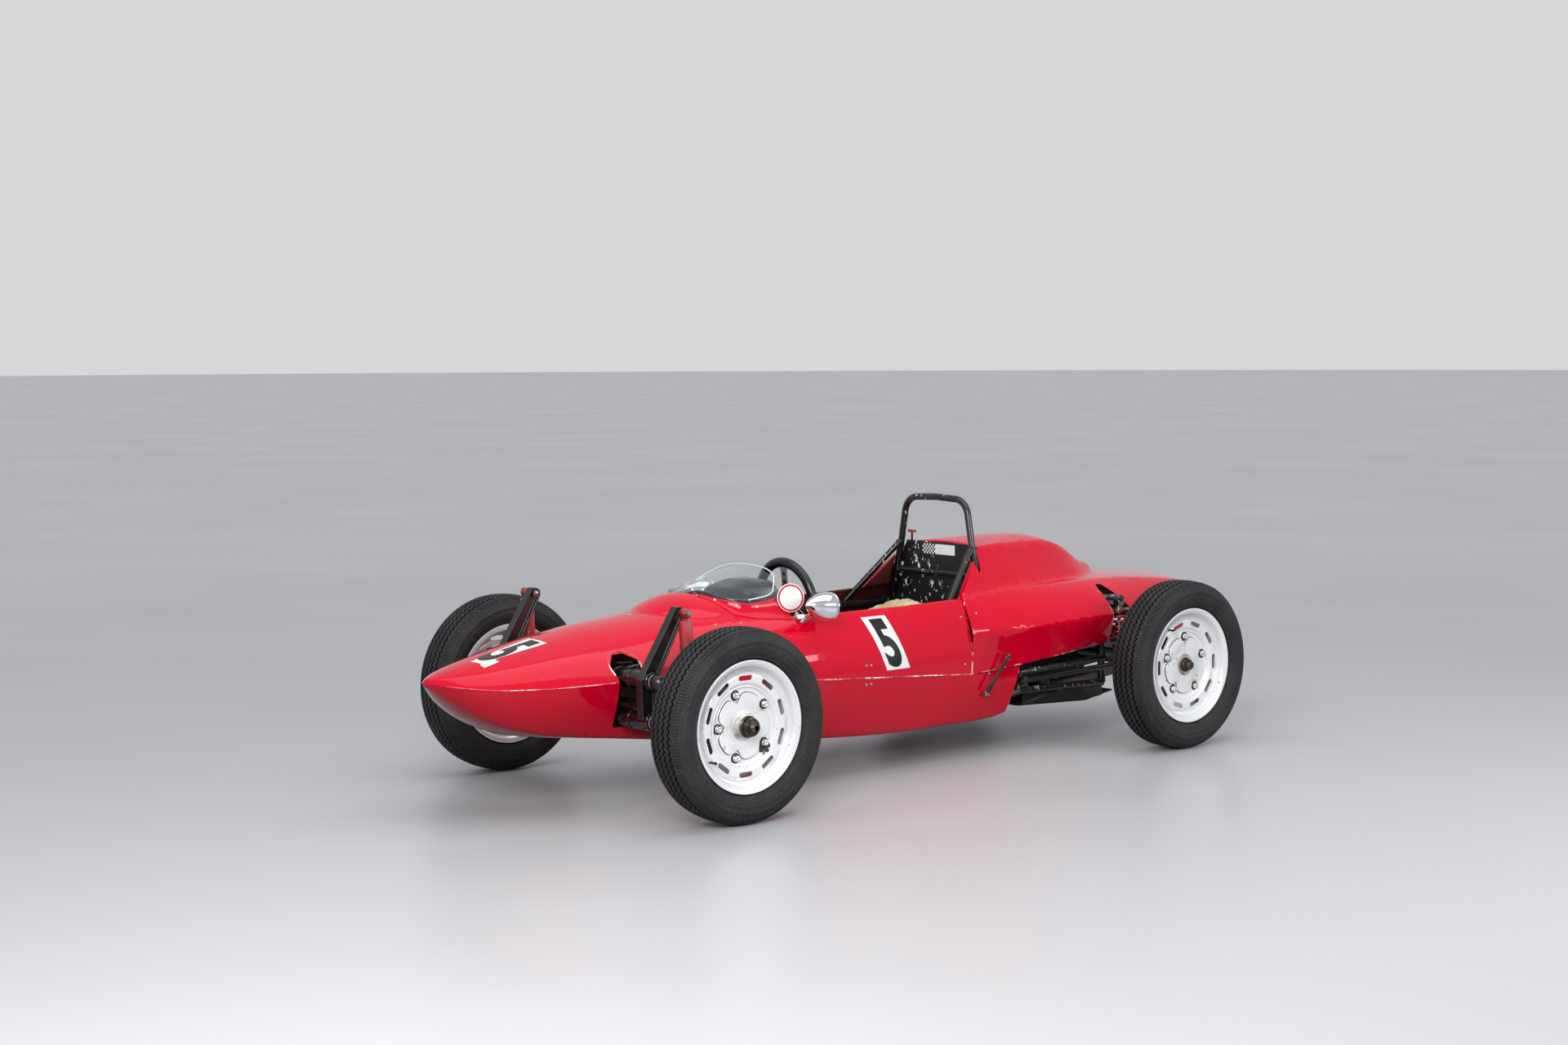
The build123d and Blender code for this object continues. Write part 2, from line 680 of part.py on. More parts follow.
# the shaft ends inside the steering box, which saddles the upper beam tube
box_x = beam_x - 34
shaft_run = (box_x - wheel_x - 10) / slope_x
with BuildPart() as steering_box:
    with Locations((box_x, 0, beam_height + 4)):
        Box(64, 74, 92, align=(Align.CENTER, Align.CENTER, Align.MIN))
    bar((tie_rod_x, 0, beam_height + 10), (tie_rod_x, 0, tie_rod_z + tie_rod_r + 1), 9)
    bar((beam_x, -60, beam_height), (beam_x, 60, beam_height), beam_tube_r + fit_gap, mode=Mode.SUBTRACT)
    bar(shaft_point(0), shaft_point(shaft_run + 0.5), shaft_r + fit_gap, mode=Mode.SUBTRACT)
save("steering_box", steering_box.part)

with BuildPart() as steering_shaft:
    bar(shaft_point(14), shaft_point(shaft_run), shaft_r)
save("steering_shaft", steering_shaft.part)

spoke_width = 34
spoke_thick = 4
wheel_plane = Plane(origin=(wheel_x, 0, wheel_z), x_dir=(0, 1, 0), z_dir=(-slope_x, 0, -slope_z))
with BuildPart() as steering_wheel:
    with Locations(wheel_plane):
        Torus(steering_wheel_r, steering_grip_r)
        Cylinder(30, 12)
        for angle in (0, 180, 270):
            with Locations(Rotation(0, 0, angle)):
                with Locations((steering_wheel_r / 2, 0, 0)):
                    Box(steering_wheel_r, spoke_width, spoke_thick)
    bar(shaft_point(-7), shaft_point(13.7), 18)
save("steering_wheel", steering_wheel.part)

# ---------------------------------------------------------------- drive and rear suspension
engine_front = at(-560)
bell_x = rear_axle + 95
crank_z = tyre_r + 6
engine_low = 190
with BuildPart() as engine:
    with Locations(((engine_front + bell_x) / 2, 0, engine_low)):
        Box(engine_front - bell_x, 220, 270, align=(Align.CENTER, Align.CENTER, Align.MIN))
        with Locations((0, 0, 55)):
            Box(engine_front - bell_x - 60, 540, 130, align=(Align.CENTER, Align.CENTER, Align.MIN))
    fillet(engine.edges().filter_by(Axis.X), 12)
save("engine", engine.part)

nose_end = rear_axle - 300
with BuildPart() as transaxle:
    with BuildSketch(Plane.YZ.offset(bell_x - fit_gap)):
        with Locations((0, crank_z)):
            Circle(150)
    with BuildSketch(Plane.YZ.offset(rear_axle + 40)):
        with Locations((0, crank_z)):
            Circle(100)
    loft()
    bar((rear_axle + 41, 0, crank_z), (nose_end, 0, crank_z), 78)
    bar((rear_axle, -112, tyre_r), (rear_axle, 112, tyre_r), 92)
    bar((nose_end + 40, 0, crank_z), (nose_end + 40, 0, 470 - rail_r - fit_gap), 22)
save("transaxle", transaxle.part)

backing_in = drum_depth - 12
for name, side in sides:
    with BuildPart() as axle_tube:
        bar((rear_axle, side * (112 + fit_gap), tyre_r), (rear_axle, side * 150, tyre_r), 48)
        bar((rear_axle, side * 140, tyre_r), (rear_axle, side * (rear_wheel_y - backing_in), tyre_r), axle_tube_r)
        bar((rear_axle, side * (rear_wheel_y - backing_in - 4), tyre_r),
            (rear_axle, side * (rear_wheel_y - backing_in), tyre_r), backing_r)
        bar((rear_axle, side * (rear_wheel_y - backing_in - 1), tyre_r),
            (rear_axle, side * (rear_wheel_y + spindle_reach), tyre_r), spindle_r)
    save(f"axle_tube_{name}", axle_tube.part)

for name, side in sides:
    with BuildPart() as coilover:
        low = Vector(rear_axle, side * spring_y, tyre_r + axle_tube_r + fit_gap)
        top = Vector(spring_x, side * spring_y, spring_top - bay_tube_r - fit_gap)
        run = (top - low).normalized()
        bar(low + run * 12, top - run * 8, damper_r)
        bar(low + run * 30, low + run * 34, coil_r + 3)
        bar(low + run * 34.3, top - run * 30.3, coil_r)
        bar(top - run * 30, top - run * 26, coil_r + 3)
        # saddle on the axle tube and the block under the cross tube
        with Locations((low.X, low.Y, low.Z - 14)):
            Box(44, 40, 30, align=(Align.CENTER, Align.CENTER, Align.MIN))
        with Locations((top.X, top.Y, top.Z + 8)):
            Box(30, 28, 24, align=(Align.CENTER, Align.CENTER, Align.MAX))
        cope((rear_axle, side * 250, tyre_r), (rear_axle, side * 450, tyre_r), axle_tube_r)
        cope((spring_x, side * 250, spring_top), (spring_x, side * 450, spring_top), bay_tube_r)
    save(f"coilover_{name}", coilover.part)

with BuildPart() as radius_arms:
    for name, side in sides:
        bar((at(-560) - 2, side * (bay_y + 18), 258), (rear_axle + 6, side * 440, tyre_r - 6), 11)
        bar((at(-560) - 2, side * (bay_y + 2), 258), (at(-560) - 2, side * (bay_y + 34), 258), 14)
        cope((at(-560), side * 290, 216), (at(-560), side * bay_y, 285), bay_tube_r)
        cope((rear_axle, side * 300, tyre_r), (rear_axle, side * 560, tyre_r), axle_tube_r)
save("radius_arms", radius_arms.part)

tray_wall = 4
tray_line = [(at(-548), 168), (at(-911), 152), (at(-1059), 176)]
with BuildPart() as undertray:
    side_slab([*tray_line, *[(x, z - tray_wall) for x, z in reversed(tray_line)]], -bay_y, bay_y)
    for side in (1, -1):
        low, high = sorted((side * (bay_y - tray_wall), side * bay_y))
        side_slab([(at(-575), 150), (at(-575), 210), (strut_x, 210), (strut_x, 150)], low, high)
        side_slab([(at(-500), 100), (at(-500), 167), (at(-911), 151), (at(-1200), 180), (at(-1200), 100)],
                  low - 1, high + 1, mode=Mode.SUBTRACT)
    side_slab([*tray_line, *[(x, z - tray_wall) for x, z in reversed(tray_line)]], -bay_y, bay_y)
    for side in (1, -1):
        cope((at(-560), side * 290, 216), (strut_x, side * bay_y, 208), rail_r)
        cope((strut_x, side * bay_y, 208), (strut_x, side * 285, spring_top), rail_r)
save("undertray", undertray.part)

pipe_r = 22
with BuildPart() as exhaust:
    for side in (1, -1):
        bent_tube([(at(-770), side * 215, engine_low + 55 - fit_gap), (at(-770), side * 215, 202),
                   (rear_axle, side * 142, 200), (rear_axle - 270, side * 105, 218), (rear_axle - 400, 0, 262)],
                  25, pipe_r)
    bar((rear_axle - 372, 0, 262), (rear_axle - 640, 0, 276), 34)
save("exhaust", exhaust.part)

# ---------------------------------------------------------------- wheels
wheels = (("front_left", front_axle, front_wheel_y, 1, spindle_end_front),
          ("front_right", front_axle, -front_wheel_y, -1, spindle_end_front),
          ("rear_left", rear_axle, rear_wheel_y, 1, spindle_end_rear),
          ("rear_right", rear_axle, -rear_wheel_y, -1, spindle_end_rear))
bead_half = rim_half - 8
flange_in = rim_flange_r - 6
seat_in = bead_r - rim_wall
shelf_r = bead_r - 2
# half profiles of the rim; columns: radius, distance outboard
barrel_outer = [(rim_flange_r, rim_half), (rim_flange_r, rim_half - 5), (rim_flange_r - 5, bead_half),
                (bead_r, bead_half), (shelf_r, 26), (rim_well_r, 14)]
barrel_inner = [(rim_well_r - rim_wall, 14), (shelf_r - rim_wall, 26), (seat_in, bead_half + rim_wall),
                (flange_in - rim_wall, bead_half + rim_wall), (flange_in, rim_half)]
rim_barrel = [*barrel_outer, *[(r, -out) for r, out in reversed(barrel_outer)],
              *[(r, -out) for r, out in reversed(barrel_inner)], *barrel_inner]
disc_line = [(rim_well_r - 1, 12), (167, 29), (162, 36), (136, 35), (124, rim_disc_out + 4),
             (116, rim_disc_out), (76, rim_disc_out)]
rim_face = [*disc_line, *[(r, out - rim_wall) for r, out in reversed(disc_line)]]


def wheel_frame(x, y, side):
    """Plane through the axle: local X is the radius, local Y runs outboard."""
    return Plane(origin=(x, y, tyre_r), x_dir=(1, 0, 0), z_dir=(0, 0, side))


for name, x, y, side, spindle_end in wheels:
    axle = Axis((x, y, tyre_r), (0, 1, 0))
    with BuildPart() as tyre:
        with BuildSketch(wheel_frame(x, y, side)):
            with BuildLine():
                shoulder_r = tyre_r - tread_crown
                for half in (1, -1):
                    Line((bead_r + 1, half * 34), (bead_r + 1, half * (bead_half - 0.5)))
                    Line((bead_r + 1, half * (bead_half - 0.5)), (rim_flange_r + 2, half * (bead_half - 0.5)))
                    ThreePointArc((rim_flange_r + 2, half * (bead_half - 0.5)), (228, half * 68),
                                  (252, half * tyre_half))
                    ThreePointArc((252, half * tyre_half), (276, half * 72), (292, half * 63))
                    Line((292, half * 63), (shoulder_r, half * tread_half))
                    Line((bead_r + 1, half * 34), (216, half * 37))
                    ThreePointArc((216, half * 37), (252, half * (tyre_half - tyre_wall)), (288, half * 50))
                ThreePointArc((shoulder_r, -tread_half), (tyre_r, 0), (shoulder_r, tread_half))
                ThreePointArc((288, -50), (tyre_r - tyre_wall, 0), (288, 50))
            make_face()
        revolve(axis=axle)
    save(f"tyre_{name}", tyre.part)

    with BuildPart() as rim:
        with BuildSketch(wheel_frame(x, y, side)):
            for profile in (rim_barrel, rim_face):
                with BuildLine():
                    Polyline(*profile, close=True)
                make_face()
        revolve(axis=axle)
        face_plane = Plane(origin=(x, y + side * 60, tyre_r), x_dir=(1, 0, 0), z_dir=(0, side, 0))
        with BuildSketch(face_plane):
            with PolarLocations(vent_circle_r, vent_count, start_angle=18, rotate=True):
                SlotOverall(vent_length, vent_width, rotation=90)
            with PolarLocations(bolt_circle_r, bolt_count):
                Circle(bolt_r)
        extrude(amount=-70, mode=Mode.SUBTRACT)
    save(f"rim_{name}", rim.part.rotate(axle, 0 if x > rear_axle else -90))

    with BuildPart() as drum:
        seat_out = rim_disc_out - rim_wall - fit_gap
        bar((x, y + side * (seat_out - drum_depth), tyre_r), (x, y + side * seat_out, tyre_r), drum_r)
        bar((x, y + side * (seat_out - drum_depth), tyre_r), (x, y + side * (seat_out - 8), tyre_r), drum_r - 10,
            mode=Mode.SUBTRACT)
        bar((x, y + side * (seat_out - drum_depth + 6), tyre_r), (x, y + side * (spindle_end - 38), tyre_r), 34)
        bar((x, y + side * (spindle_end - 39), tyre_r), (x, y + side * (spindle_end - 18), tyre_r), 22)
        bar((x, y + side * (spindle_end - 19), tyre_r), (x, y + side * spindle_end, tyre_r), 14)
        bar((x, y - side * drum_depth, tyre_r), (x, y + side * (spindle_reach + 2), tyre_r), spindle_r + fit_gap,
            mode=Mode.SUBTRACT)
    save(f"drum_{name}", drum.part)

# ---------------------------------------------------------------- body fittings
with BuildPart() as skin_mass:
    upper_loft(-fit_gap)
with BuildPart() as cover_mass:
    cover_loft(-fit_gap)
with BuildPart() as tub_mass:
    lower_loft(-fit_gap)

mirror_foot = (at(464), 270, 557)
mirror_back = (at(384), 330, 598)
mirror_front = (at(494), 330, 610)
for name, side in sides:
    with BuildPart() as mirror:
        back = Vector(mirror_back[0], side * mirror_back[1], mirror_back[2])
        front = Vector(mirror_front[0], side * mirror_front[1], mirror_front[2])
        axis = (front - back).normalized()
        long = (front - back).length
        head_plane = Plane(origin=back, x_dir=axis, z_dir=(0, side, 0))
        with BuildSketch(head_plane):
            with BuildLine():
                Line((0, 0), (0, 46))
                Line((0, 46), (10, 49))
                ThreePointArc((10, 49), (70, 35), (long, 0))
                Line((long, 0), (0, 0))
            make_face()
        revolve(axis=Axis(back, axis))
        bar((mirror_foot[0], side * mirror_foot[1], mirror_foot[2]),
            (back.X + 62, side * mirror_back[1], mirror_back[2] - 14), 6)
        bar((mirror_foot[0], side * 250, mirror_foot[2]), (mirror_foot[0], side * 284, mirror_foot[2] + 2), 15)
        add(skin_mass.part, mode=Mode.SUBTRACT)
    save(f"mirror_{name}", mirror.part)

with BuildPart() as hold_down_straps:
    for name, side in sides:
        top, low = Vector(at(-440), side * 362, 364), Vector(at(-352), side * 334, 228)
        bar(top, low, 7)
        bar((top.X, side * 320, top.Z), top, 6)
        bar((low.X, side * 290, low.Z), low, 6)
    add(cover_mass.part, mode=Mode.SUBTRACT)
    add(tub_mass.part, mode=Mode.SUBTRACT)
save("hold_down_straps", hold_down_straps.part)
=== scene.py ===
"""Open wheel racing car: the visible pieces and finishes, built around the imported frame."""

import json
import math

import bmesh
import bpy
from mathutils import Matrix, Vector
from mathutils.bvhtree import BVHTree
from mathutils.kdtree import KDTree

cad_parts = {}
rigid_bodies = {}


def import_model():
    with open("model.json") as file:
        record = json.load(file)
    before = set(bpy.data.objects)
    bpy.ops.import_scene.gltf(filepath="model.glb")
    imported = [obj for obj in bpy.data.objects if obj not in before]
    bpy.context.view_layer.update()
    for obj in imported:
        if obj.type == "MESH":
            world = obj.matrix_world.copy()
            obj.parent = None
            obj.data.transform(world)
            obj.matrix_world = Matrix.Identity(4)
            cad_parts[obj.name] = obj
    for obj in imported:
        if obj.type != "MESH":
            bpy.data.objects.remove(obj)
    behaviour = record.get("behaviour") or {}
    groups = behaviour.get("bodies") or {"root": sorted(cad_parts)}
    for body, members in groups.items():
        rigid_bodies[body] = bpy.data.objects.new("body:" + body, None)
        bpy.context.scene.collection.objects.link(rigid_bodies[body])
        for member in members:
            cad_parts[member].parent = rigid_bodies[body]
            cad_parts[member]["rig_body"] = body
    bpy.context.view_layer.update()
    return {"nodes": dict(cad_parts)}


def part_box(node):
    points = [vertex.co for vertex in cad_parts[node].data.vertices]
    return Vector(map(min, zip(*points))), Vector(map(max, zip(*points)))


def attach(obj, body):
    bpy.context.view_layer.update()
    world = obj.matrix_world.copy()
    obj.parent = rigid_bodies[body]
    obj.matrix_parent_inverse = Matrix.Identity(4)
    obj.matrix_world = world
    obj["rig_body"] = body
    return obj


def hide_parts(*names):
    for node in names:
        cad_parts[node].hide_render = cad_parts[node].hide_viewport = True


bl_info = {
    "name": "Open wheel racing car",
    "version": (1, 0, 0),
    "blender": (4, 5, 0),
    "location": "View3D > Sidebar > Racing car",
    "description": "Builds the car's bodywork, wheels, cockpit and running gear around its frame",
    "category": "Add Mesh",
}

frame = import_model()
NODES = frame["nodes"]
PANELS = ("front_body_shell", "lower_tub", "engine_cover")
WHEELS = ("front_left", "front_right", "rear_left", "rear_right")
SIDES = (("left", 1), ("right", -1))
X_AXIS, Y_AXIS, Z_AXIS = Vector((1, 0, 0)), Vector((0, 1, 0)), Vector((0, 0, 1))
# places in metres, taken from the frame's own parts
BEAM_X = 1.205
BEAM_Z = (0.432, 0.306)                     # upper and lower beam tube
KINGPIN_Z = (0.369, 0.243)                  # upper and lower kingpin joint
SHOCK_EYE, SHOCK_FOOT = (1.085, 0.638), (1.065, 0.251)
STEERING_CENTRE = Vector((0.293, 0, 0.578))
STEERING_AXIS = Vector((-math.cos(math.radians(6)), 0, math.sin(math.radians(6))))
SPOKE_TURNS = (90, 210, 330)
HOOP_X = -0.43
PANEL_FRONT_X = -0.4428
WHEEL_FACE = 0.022                          # outboard face of a wheel's centre, from the wheel's middle plane
WALL = (0.009, 0.013)                       # a panel's own wall is thinner, its cut rim is deeper
RIM_REACH = 0.04                            # how far a panel's edge attribute reaches in
SCAR = (0.962, 0.668, 0.231)                # knock in the front left wheel
# line between the upper and the lower body, as (x, z)
SEAM_LINE = ((1.769, 0.434), (1.7, 0.424), (1.6, 0.415), (1.45, 0.413), (1.24, 0.419), (1.0, 0.4),
             (0.78, 0.38), (0.4, 0.352), (0.0, 0.325), (-0.29, 0.304))
# edge of the slot that the beam comes out of, and the screws along the body's side, as (x, z)
BEAM_SLOT = ((1.2465, 0.44), (1.2535, 0.458), (1.2545, 0.472), (1.245, 0.49), (1.23, 0.503),
             (1.205, 0.5065), (1.183, 0.507), (1.162, 0.498), (1.143, 0.484))
PANEL_SCREWS = ((0.796, 0.56), (0.7, 0.56), (-0.262, 0.51), (-0.325, 0.52), (0.228, 0.385),
                (0.206, 0.384), (0.228, 0.32), (0.206, 0.32), (-0.255, 0.345), (-0.38, 0.3),
                (1.02, 0.36), (1.02, 0.43), (0.62, 0.335), (0.62, 0.4))
# x, half width and height of the cockpit opening's edge, half width and height of the screen's foot
SCUTTLE = ((0.748, 0.07, 0.6415, 0.064, 0.648), (0.72, 0.139, 0.619, 0.116, 0.6345),
           (0.69, 0.185, 0.593, 0.166, 0.6265), (0.66, 0.207, 0.579, 0.196, 0.619),
           (0.63, 0.224, 0.573, 0.208, 0.615), (0.6, 0.229, 0.572, 0.2135, 0.6195),
           (0.57, 0.235, 0.57, 0.2185, 0.6235), (0.54, 0.24, 0.569, 0.2205, 0.6285),
           (0.515, 0.245, 0.5675, 0.232, 0.605), (0.49, 0.2475, 0.567, 0.246, 0.571))


# ---------------------------------------------------------------- settings
class BodySettings(bpy.types.PropertyGroup):
    """Colours and wear of the laminate panels."""

    gel_coat: bpy.props.FloatVectorProperty(
        name="Gel coat", description="Colour of the body panels, sRGB", subtype="COLOR_GAMMA",
        size=3, min=0, max=1, default=(0.82, 0.0, 0.15))
    chips: bpy.props.FloatProperty(
        name="Edge chips", description="How far chips reach in from the panels' edges",
        subtype="DISTANCE", unit="LENGTH", min=0, max=0.05, default=0.004)
    number: bpy.props.StringProperty(
        name="Racing number", description="Figure on the number panels", default="5")


class WheelSettings(bpy.types.PropertyGroup):
    """Sizes of the tyre tread and the wheel's fittings."""

    groove_depth: bpy.props.FloatProperty(
        name="Groove depth", description="Depth of the tread's grooves", subtype="DISTANCE",
        unit="LENGTH", min=0.001, max=0.01, default=0.0065)
    wave: bpy.props.FloatProperty(
        name="Tread wave", description="How far the ribs swing to each side", subtype="DISTANCE",
        unit="LENGTH", min=0, max=0.008, default=0.0048)
    waves: bpy.props.IntProperty(
        name="Waves", description="Waves round the tread", min=24, max=160, default=92)
    bolt_circle: bpy.props.FloatProperty(
        name="Bolt circle radius", description="Radius of the circle of wheel bolts",
        subtype="DISTANCE", unit="LENGTH", min=0.05, max=0.15, default=0.1025)


class CockpitSettings(bpy.types.PropertyGroup):
    """Colours inside the cockpit."""

    cover: bpy.props.FloatVectorProperty(
        name="Seat cover", description="Colour of the seat's leathercloth, sRGB", subtype="COLOR_GAMMA",
        size=3, min=0, max=1, default=(0.8, 0.74, 0.6))
    puff: bpy.props.FloatProperty(
        name="Seat pressure", description="Pressure that fills the seat's pads", min=0, max=10, default=4)


class StageSettings(bpy.types.PropertyGroup):
    """Camera and studio."""

    lens: bpy.props.FloatProperty(
        name="Focal length", description="Focal length of the camera, in millimetres", min=10, max=200,
        default=56.476)
    place: bpy.props.FloatVectorProperty(
        name="Camera place", description="Where the camera stands", subtype="TRANSLATION", unit="LENGTH",
        size=3, default=(5.83434, 6.4492, 1.51208))
    floor: bpy.props.FloatVectorProperty(
        name="Floor", description="Colour of the studio floor, sRGB", subtype="COLOR_GAMMA", size=3,
        min=0, max=1, default=(0.86, 0.86, 0.86))


class CarSettings(bpy.types.PropertyGroup):
    """All settings of the racing car."""

    body: bpy.props.PointerProperty(type=BodySettings)
    wheels: bpy.props.PointerProperty(type=WheelSettings)
    cockpit: bpy.props.PointerProperty(type=CockpitSettings)
    stage: bpy.props.PointerProperty(type=StageSettings)


# ---------------------------------------------------------------- materials
def linear(colour):
    """Linear colour with alpha from an sRGB hex value such as '#c8102a', or from three sRGB shares."""
    if isinstance(colour, str):
        colour = [int(colour[i:i + 2], 16) / 255 for i in (1, 3, 5)]
    return (*[c / 12.92 if c <= 0.04045 else ((c + 0.055) / 1.055) ** 2.4 for c in colour], 1.0)


def add_node(tree, kind, inputs=None, **settings):
    """Add a node: each input is linked where it is given a socket, and set where it is given a value."""
    made = tree.nodes.new(kind)
    for name, value in settings.items():
        setattr(made, name, value)
    for name, value in (inputs or {}).items():
        if isinstance(value, bpy.types.NodeSocket):
            tree.links.new(value, made.inputs[name])
        else:
            made.inputs[name].default_value = value
    return made


def finish_of(name, colour, roughness, **more):
    """A new material with its shader's own sockets set; returns the material, its tree and the shader."""
    material = bpy.data.materials.new(name)
    material.use_nodes = True
    tree = material.node_tree
    shader = tree.nodes["Principled BSDF"]
    shader.inputs["Base Color"].default_value = linear(colour)
    shader.inputs["Roughness"].default_value = roughness
    for socket, value in more.items():
        shader.inputs[socket.replace("_", " ")].default_value = value
    material.diffuse_color = linear(colour)
    return material, tree, shader


def speckle(tree, size_mm, low, high, detail=3.0, stretch=(1, 1, 1)):
    """A 0 to 1 pattern of patches about size_mm across, between two levels of a noise."""
    place = add_node(tree, "ShaderNodeTexCoord").outputs["Object"]
    place = add_node(tree, "ShaderNodeMapping", {"Vector": place, "Scale": stretch}).outputs["Vector"]
    noise = add_node(tree, "ShaderNodeTexNoise", {"Vector": place, "Scale": 500 / size_mm, "Detail": detail})
    return add_node(tree, "ShaderNodeMapRange", {
        "Value": noise.outputs["Fac"], "From Min": low, "From Max": high}).outputs["Result"]


def tinted(tree, shader, share, colour, under=None):
    """Lay a colour over the base colour (or over a colour mixed before) where share is 1."""
    base = under or tuple(shader.inputs["Base Color"].default_value)
    # sockets 0, 6 and 7 are the factor and the two colours
    mixed = add_node(tree, "ShaderNodeMix", {0: share, 6: base, 7: linear(colour)}, data_type="RGBA",
                     clamp_factor=True)
    tree.links.new(mixed.outputs[2], shader.inputs["Base Color"])
    return mixed.outputs[2]


def rough_between(tree, shader, share, low, high):
    """Roughness that runs from low to high with share."""
    spread = add_node(tree, "ShaderNodeMapRange", {"Value": share, "To Min": low, "To Max": high})
    tree.links.new(spread.outputs["Result"], shader.inputs["Roughness"])


def bumped(tree, shader, height, depth_mm, strength=0.5):
    """Raise the surface by height, at most depth_mm."""
    bump = add_node(tree, "ShaderNodeBump", {"Height": height, "Strength": strength, "Distance": depth_mm / 1000})
    tree.links.new(bump.outputs["Normal"], shader.inputs["Normal"])


def both(tree, first, *others):
    """Where some patterns and shares overlap: their product."""
    for other in others:
        first = add_node(tree, "ShaderNodeMath", {0: first, 1: other}, operation="MULTIPLY").outputs["Value"]
    return first


def gel_coat_red():
    """Polished red gel coat over glass-fibre laminate: deep gloss, faint ripple, small pale chips at the rims."""
    settings = bpy.context.scene.racing_car.body
    material, tree, shader = finish_of("gel_coat_laminate_red", settings.gel_coat, 0.09, Specular_IOR_Level=0.3)
    faded = speckle(tree, 420, 0.35, 0.75, 2)
    colour = tinted(tree, shader, both(tree, faded, 0.14), "#b00c22")
    rim = add_node(tree, "ShaderNodeAttribute", attribute_name="edge").outputs["Fac"]
    # the attribute is 1 on a panel's rim and 0 at RIM_REACH from it
    near = add_node(tree, "ShaderNodeMapRange", {
        "Value": rim, "From Min": 1 - 1.6 * settings.chips / RIM_REACH, "From Max": 1.0}).outputs["Result"]
    ragged = both(tree, speckle(tree, 16, 0.35, 0.72, 5), speckle(tree, 150, 0.42, 0.6, 2))
    mask = add_node(tree, "ShaderNodeMapRange", {
        "Value": both(tree, ragged, near), "From Min": 0.2, "From Max": 0.26}).outputs["Result"]
    colour = tinted(tree, shader, mask, "#e2b7ab", colour)
    specks = both(tree, speckle(tree, 4, 0.72, 0.75, 2), speckle(tree, 160, 0.54, 0.64, 1))
    tinted(tree, shader, specks, "#6d1014", colour)
    rough_between(tree, shader, speckle(tree, 130, 0.3, 0.8, 4), 0.05, 0.12)
    bumped(tree, shader, speckle(tree, 60, 0.2, 0.8, 1), 0.35, 0.1)
    return material


def raw_laminate():
    """Unpainted inside of the laminate: chopped strand mat, brown-red resin, rough."""
    material, tree, shader = finish_of("laminate_inside_raw", "#45130f", 0.62)
    strands = add_node(tree, "ShaderNodeTexVoronoi", {"Scale": 160.0}, feature="DISTANCE_TO_EDGE")
    tree.links.new(add_node(tree, "ShaderNodeTexCoord").outputs["Object"], strands.inputs["Vector"])
    colour = tinted(tree, shader, speckle(tree, 60, 0.35, 0.7, 5), "#6d2a1e")
    tinted(tree, shader, speckle(tree, 4, 0.6, 0.7, 2), "#2a0d0b", colour)
    bumped(tree, shader, strands.outputs["Distance"], 0.6, 0.6)
    return material


def silver_steel():
    """Pressed steel wheel in silver enamel: very bright, glossy, with brown grease thrown from the hub."""
    material, tree, shader = finish_of("pressed_steel_silver_enamel", "#f8f9fa", 0.2, Metallic=0.3,
                                       Coat_Weight=0.5, Coat_Roughness=0.06)
    colour = tinted(tree, shader, both(tree, speckle(tree, 120, 0.5, 0.8, 4), 0.22), "#a9abad")
    near_hub = add_node(tree, "ShaderNodeAttribute", attribute_name="hub_distance").outputs["Fac"]
    # the attribute is the distance from the axle in metres; the grease fades out by 90 mm
    greasy = add_node(tree, "ShaderNodeMapRange", {
        "Value": near_hub, "From Min": 0.092, "From Max": 0.034}).outputs["Result"]
    film = both(tree, greasy, speckle(tree, 60, 0.25, 0.62, 3))
    colour = tinted(tree, shader, both(tree, film, 0.9), "#8c7a54", colour)
    caked = both(tree, film, film, speckle(tree, 14, 0.42, 0.6, 4))
    colour = tinted(tree, shader, caked, "#3f3524", colour)
    nicks = both(tree, speckle(tree, 5, 0.68, 0.71, 2), speckle(tree, 90, 0.5, 0.6, 2))
    colour = tinted(tree, shader, nicks, "#55524e", colour)
    # one knock in the front left wheel, worn down to dark steel
    reach = add_node(tree, "ShaderNodeVectorMath", {
        0: add_node(tree, "ShaderNodeTexCoord").outputs["Object"], 1: SCAR}, operation="DISTANCE").outputs["Value"]
    close = add_node(tree, "ShaderNodeMapRange", {
        "Value": reach, "From Min": 0.034, "From Max": 0.008}).outputs["Result"]
    scar = add_node(tree, "ShaderNodeMapRange", {
        "Value": both(tree, close, speckle(tree, 9, 0.3, 0.6, 4)),
        "From Min": 0.3, "From Max": 0.36}).outputs["Result"]
    tinted(tree, shader, scar, "#3a3630", colour)
    rough_between(tree, shader, speckle(tree, 60, 0.3, 0.8, 3), 0.16, 0.3)
    return material


def leathercloth():
    """Coated leathercloth over foam: cream, fine pebble grain, soft sheen, soiled in its folds."""
    material, tree, shader = finish_of("cream_leathercloth", bpy.context.scene.racing_car.cockpit.cover,
                                       0.46, Sheen_Weight=0.15)
    colour = tinted(tree, shader, both(tree, speckle(tree, 80, 0.42, 0.75, 5), 0.55), "#a88a5c")
    tinted(tree, shader, both(tree, speckle(tree, 12, 0.55, 0.75, 4), 0.35), "#7d6440", colour)
    pebbles = add_node(tree, "ShaderNodeTexVoronoi", {
        "Vector": add_node(tree, "ShaderNodeTexCoord").outputs["Object"], "Scale": 520.0}, feature="F1")
    bumped(tree, shader, pebbles.outputs["Distance"], 0.3, 0.35)
    rough_between(tree, shader, speckle(tree, 30, 0.3, 0.8, 3), 0.38, 0.6)
    return material


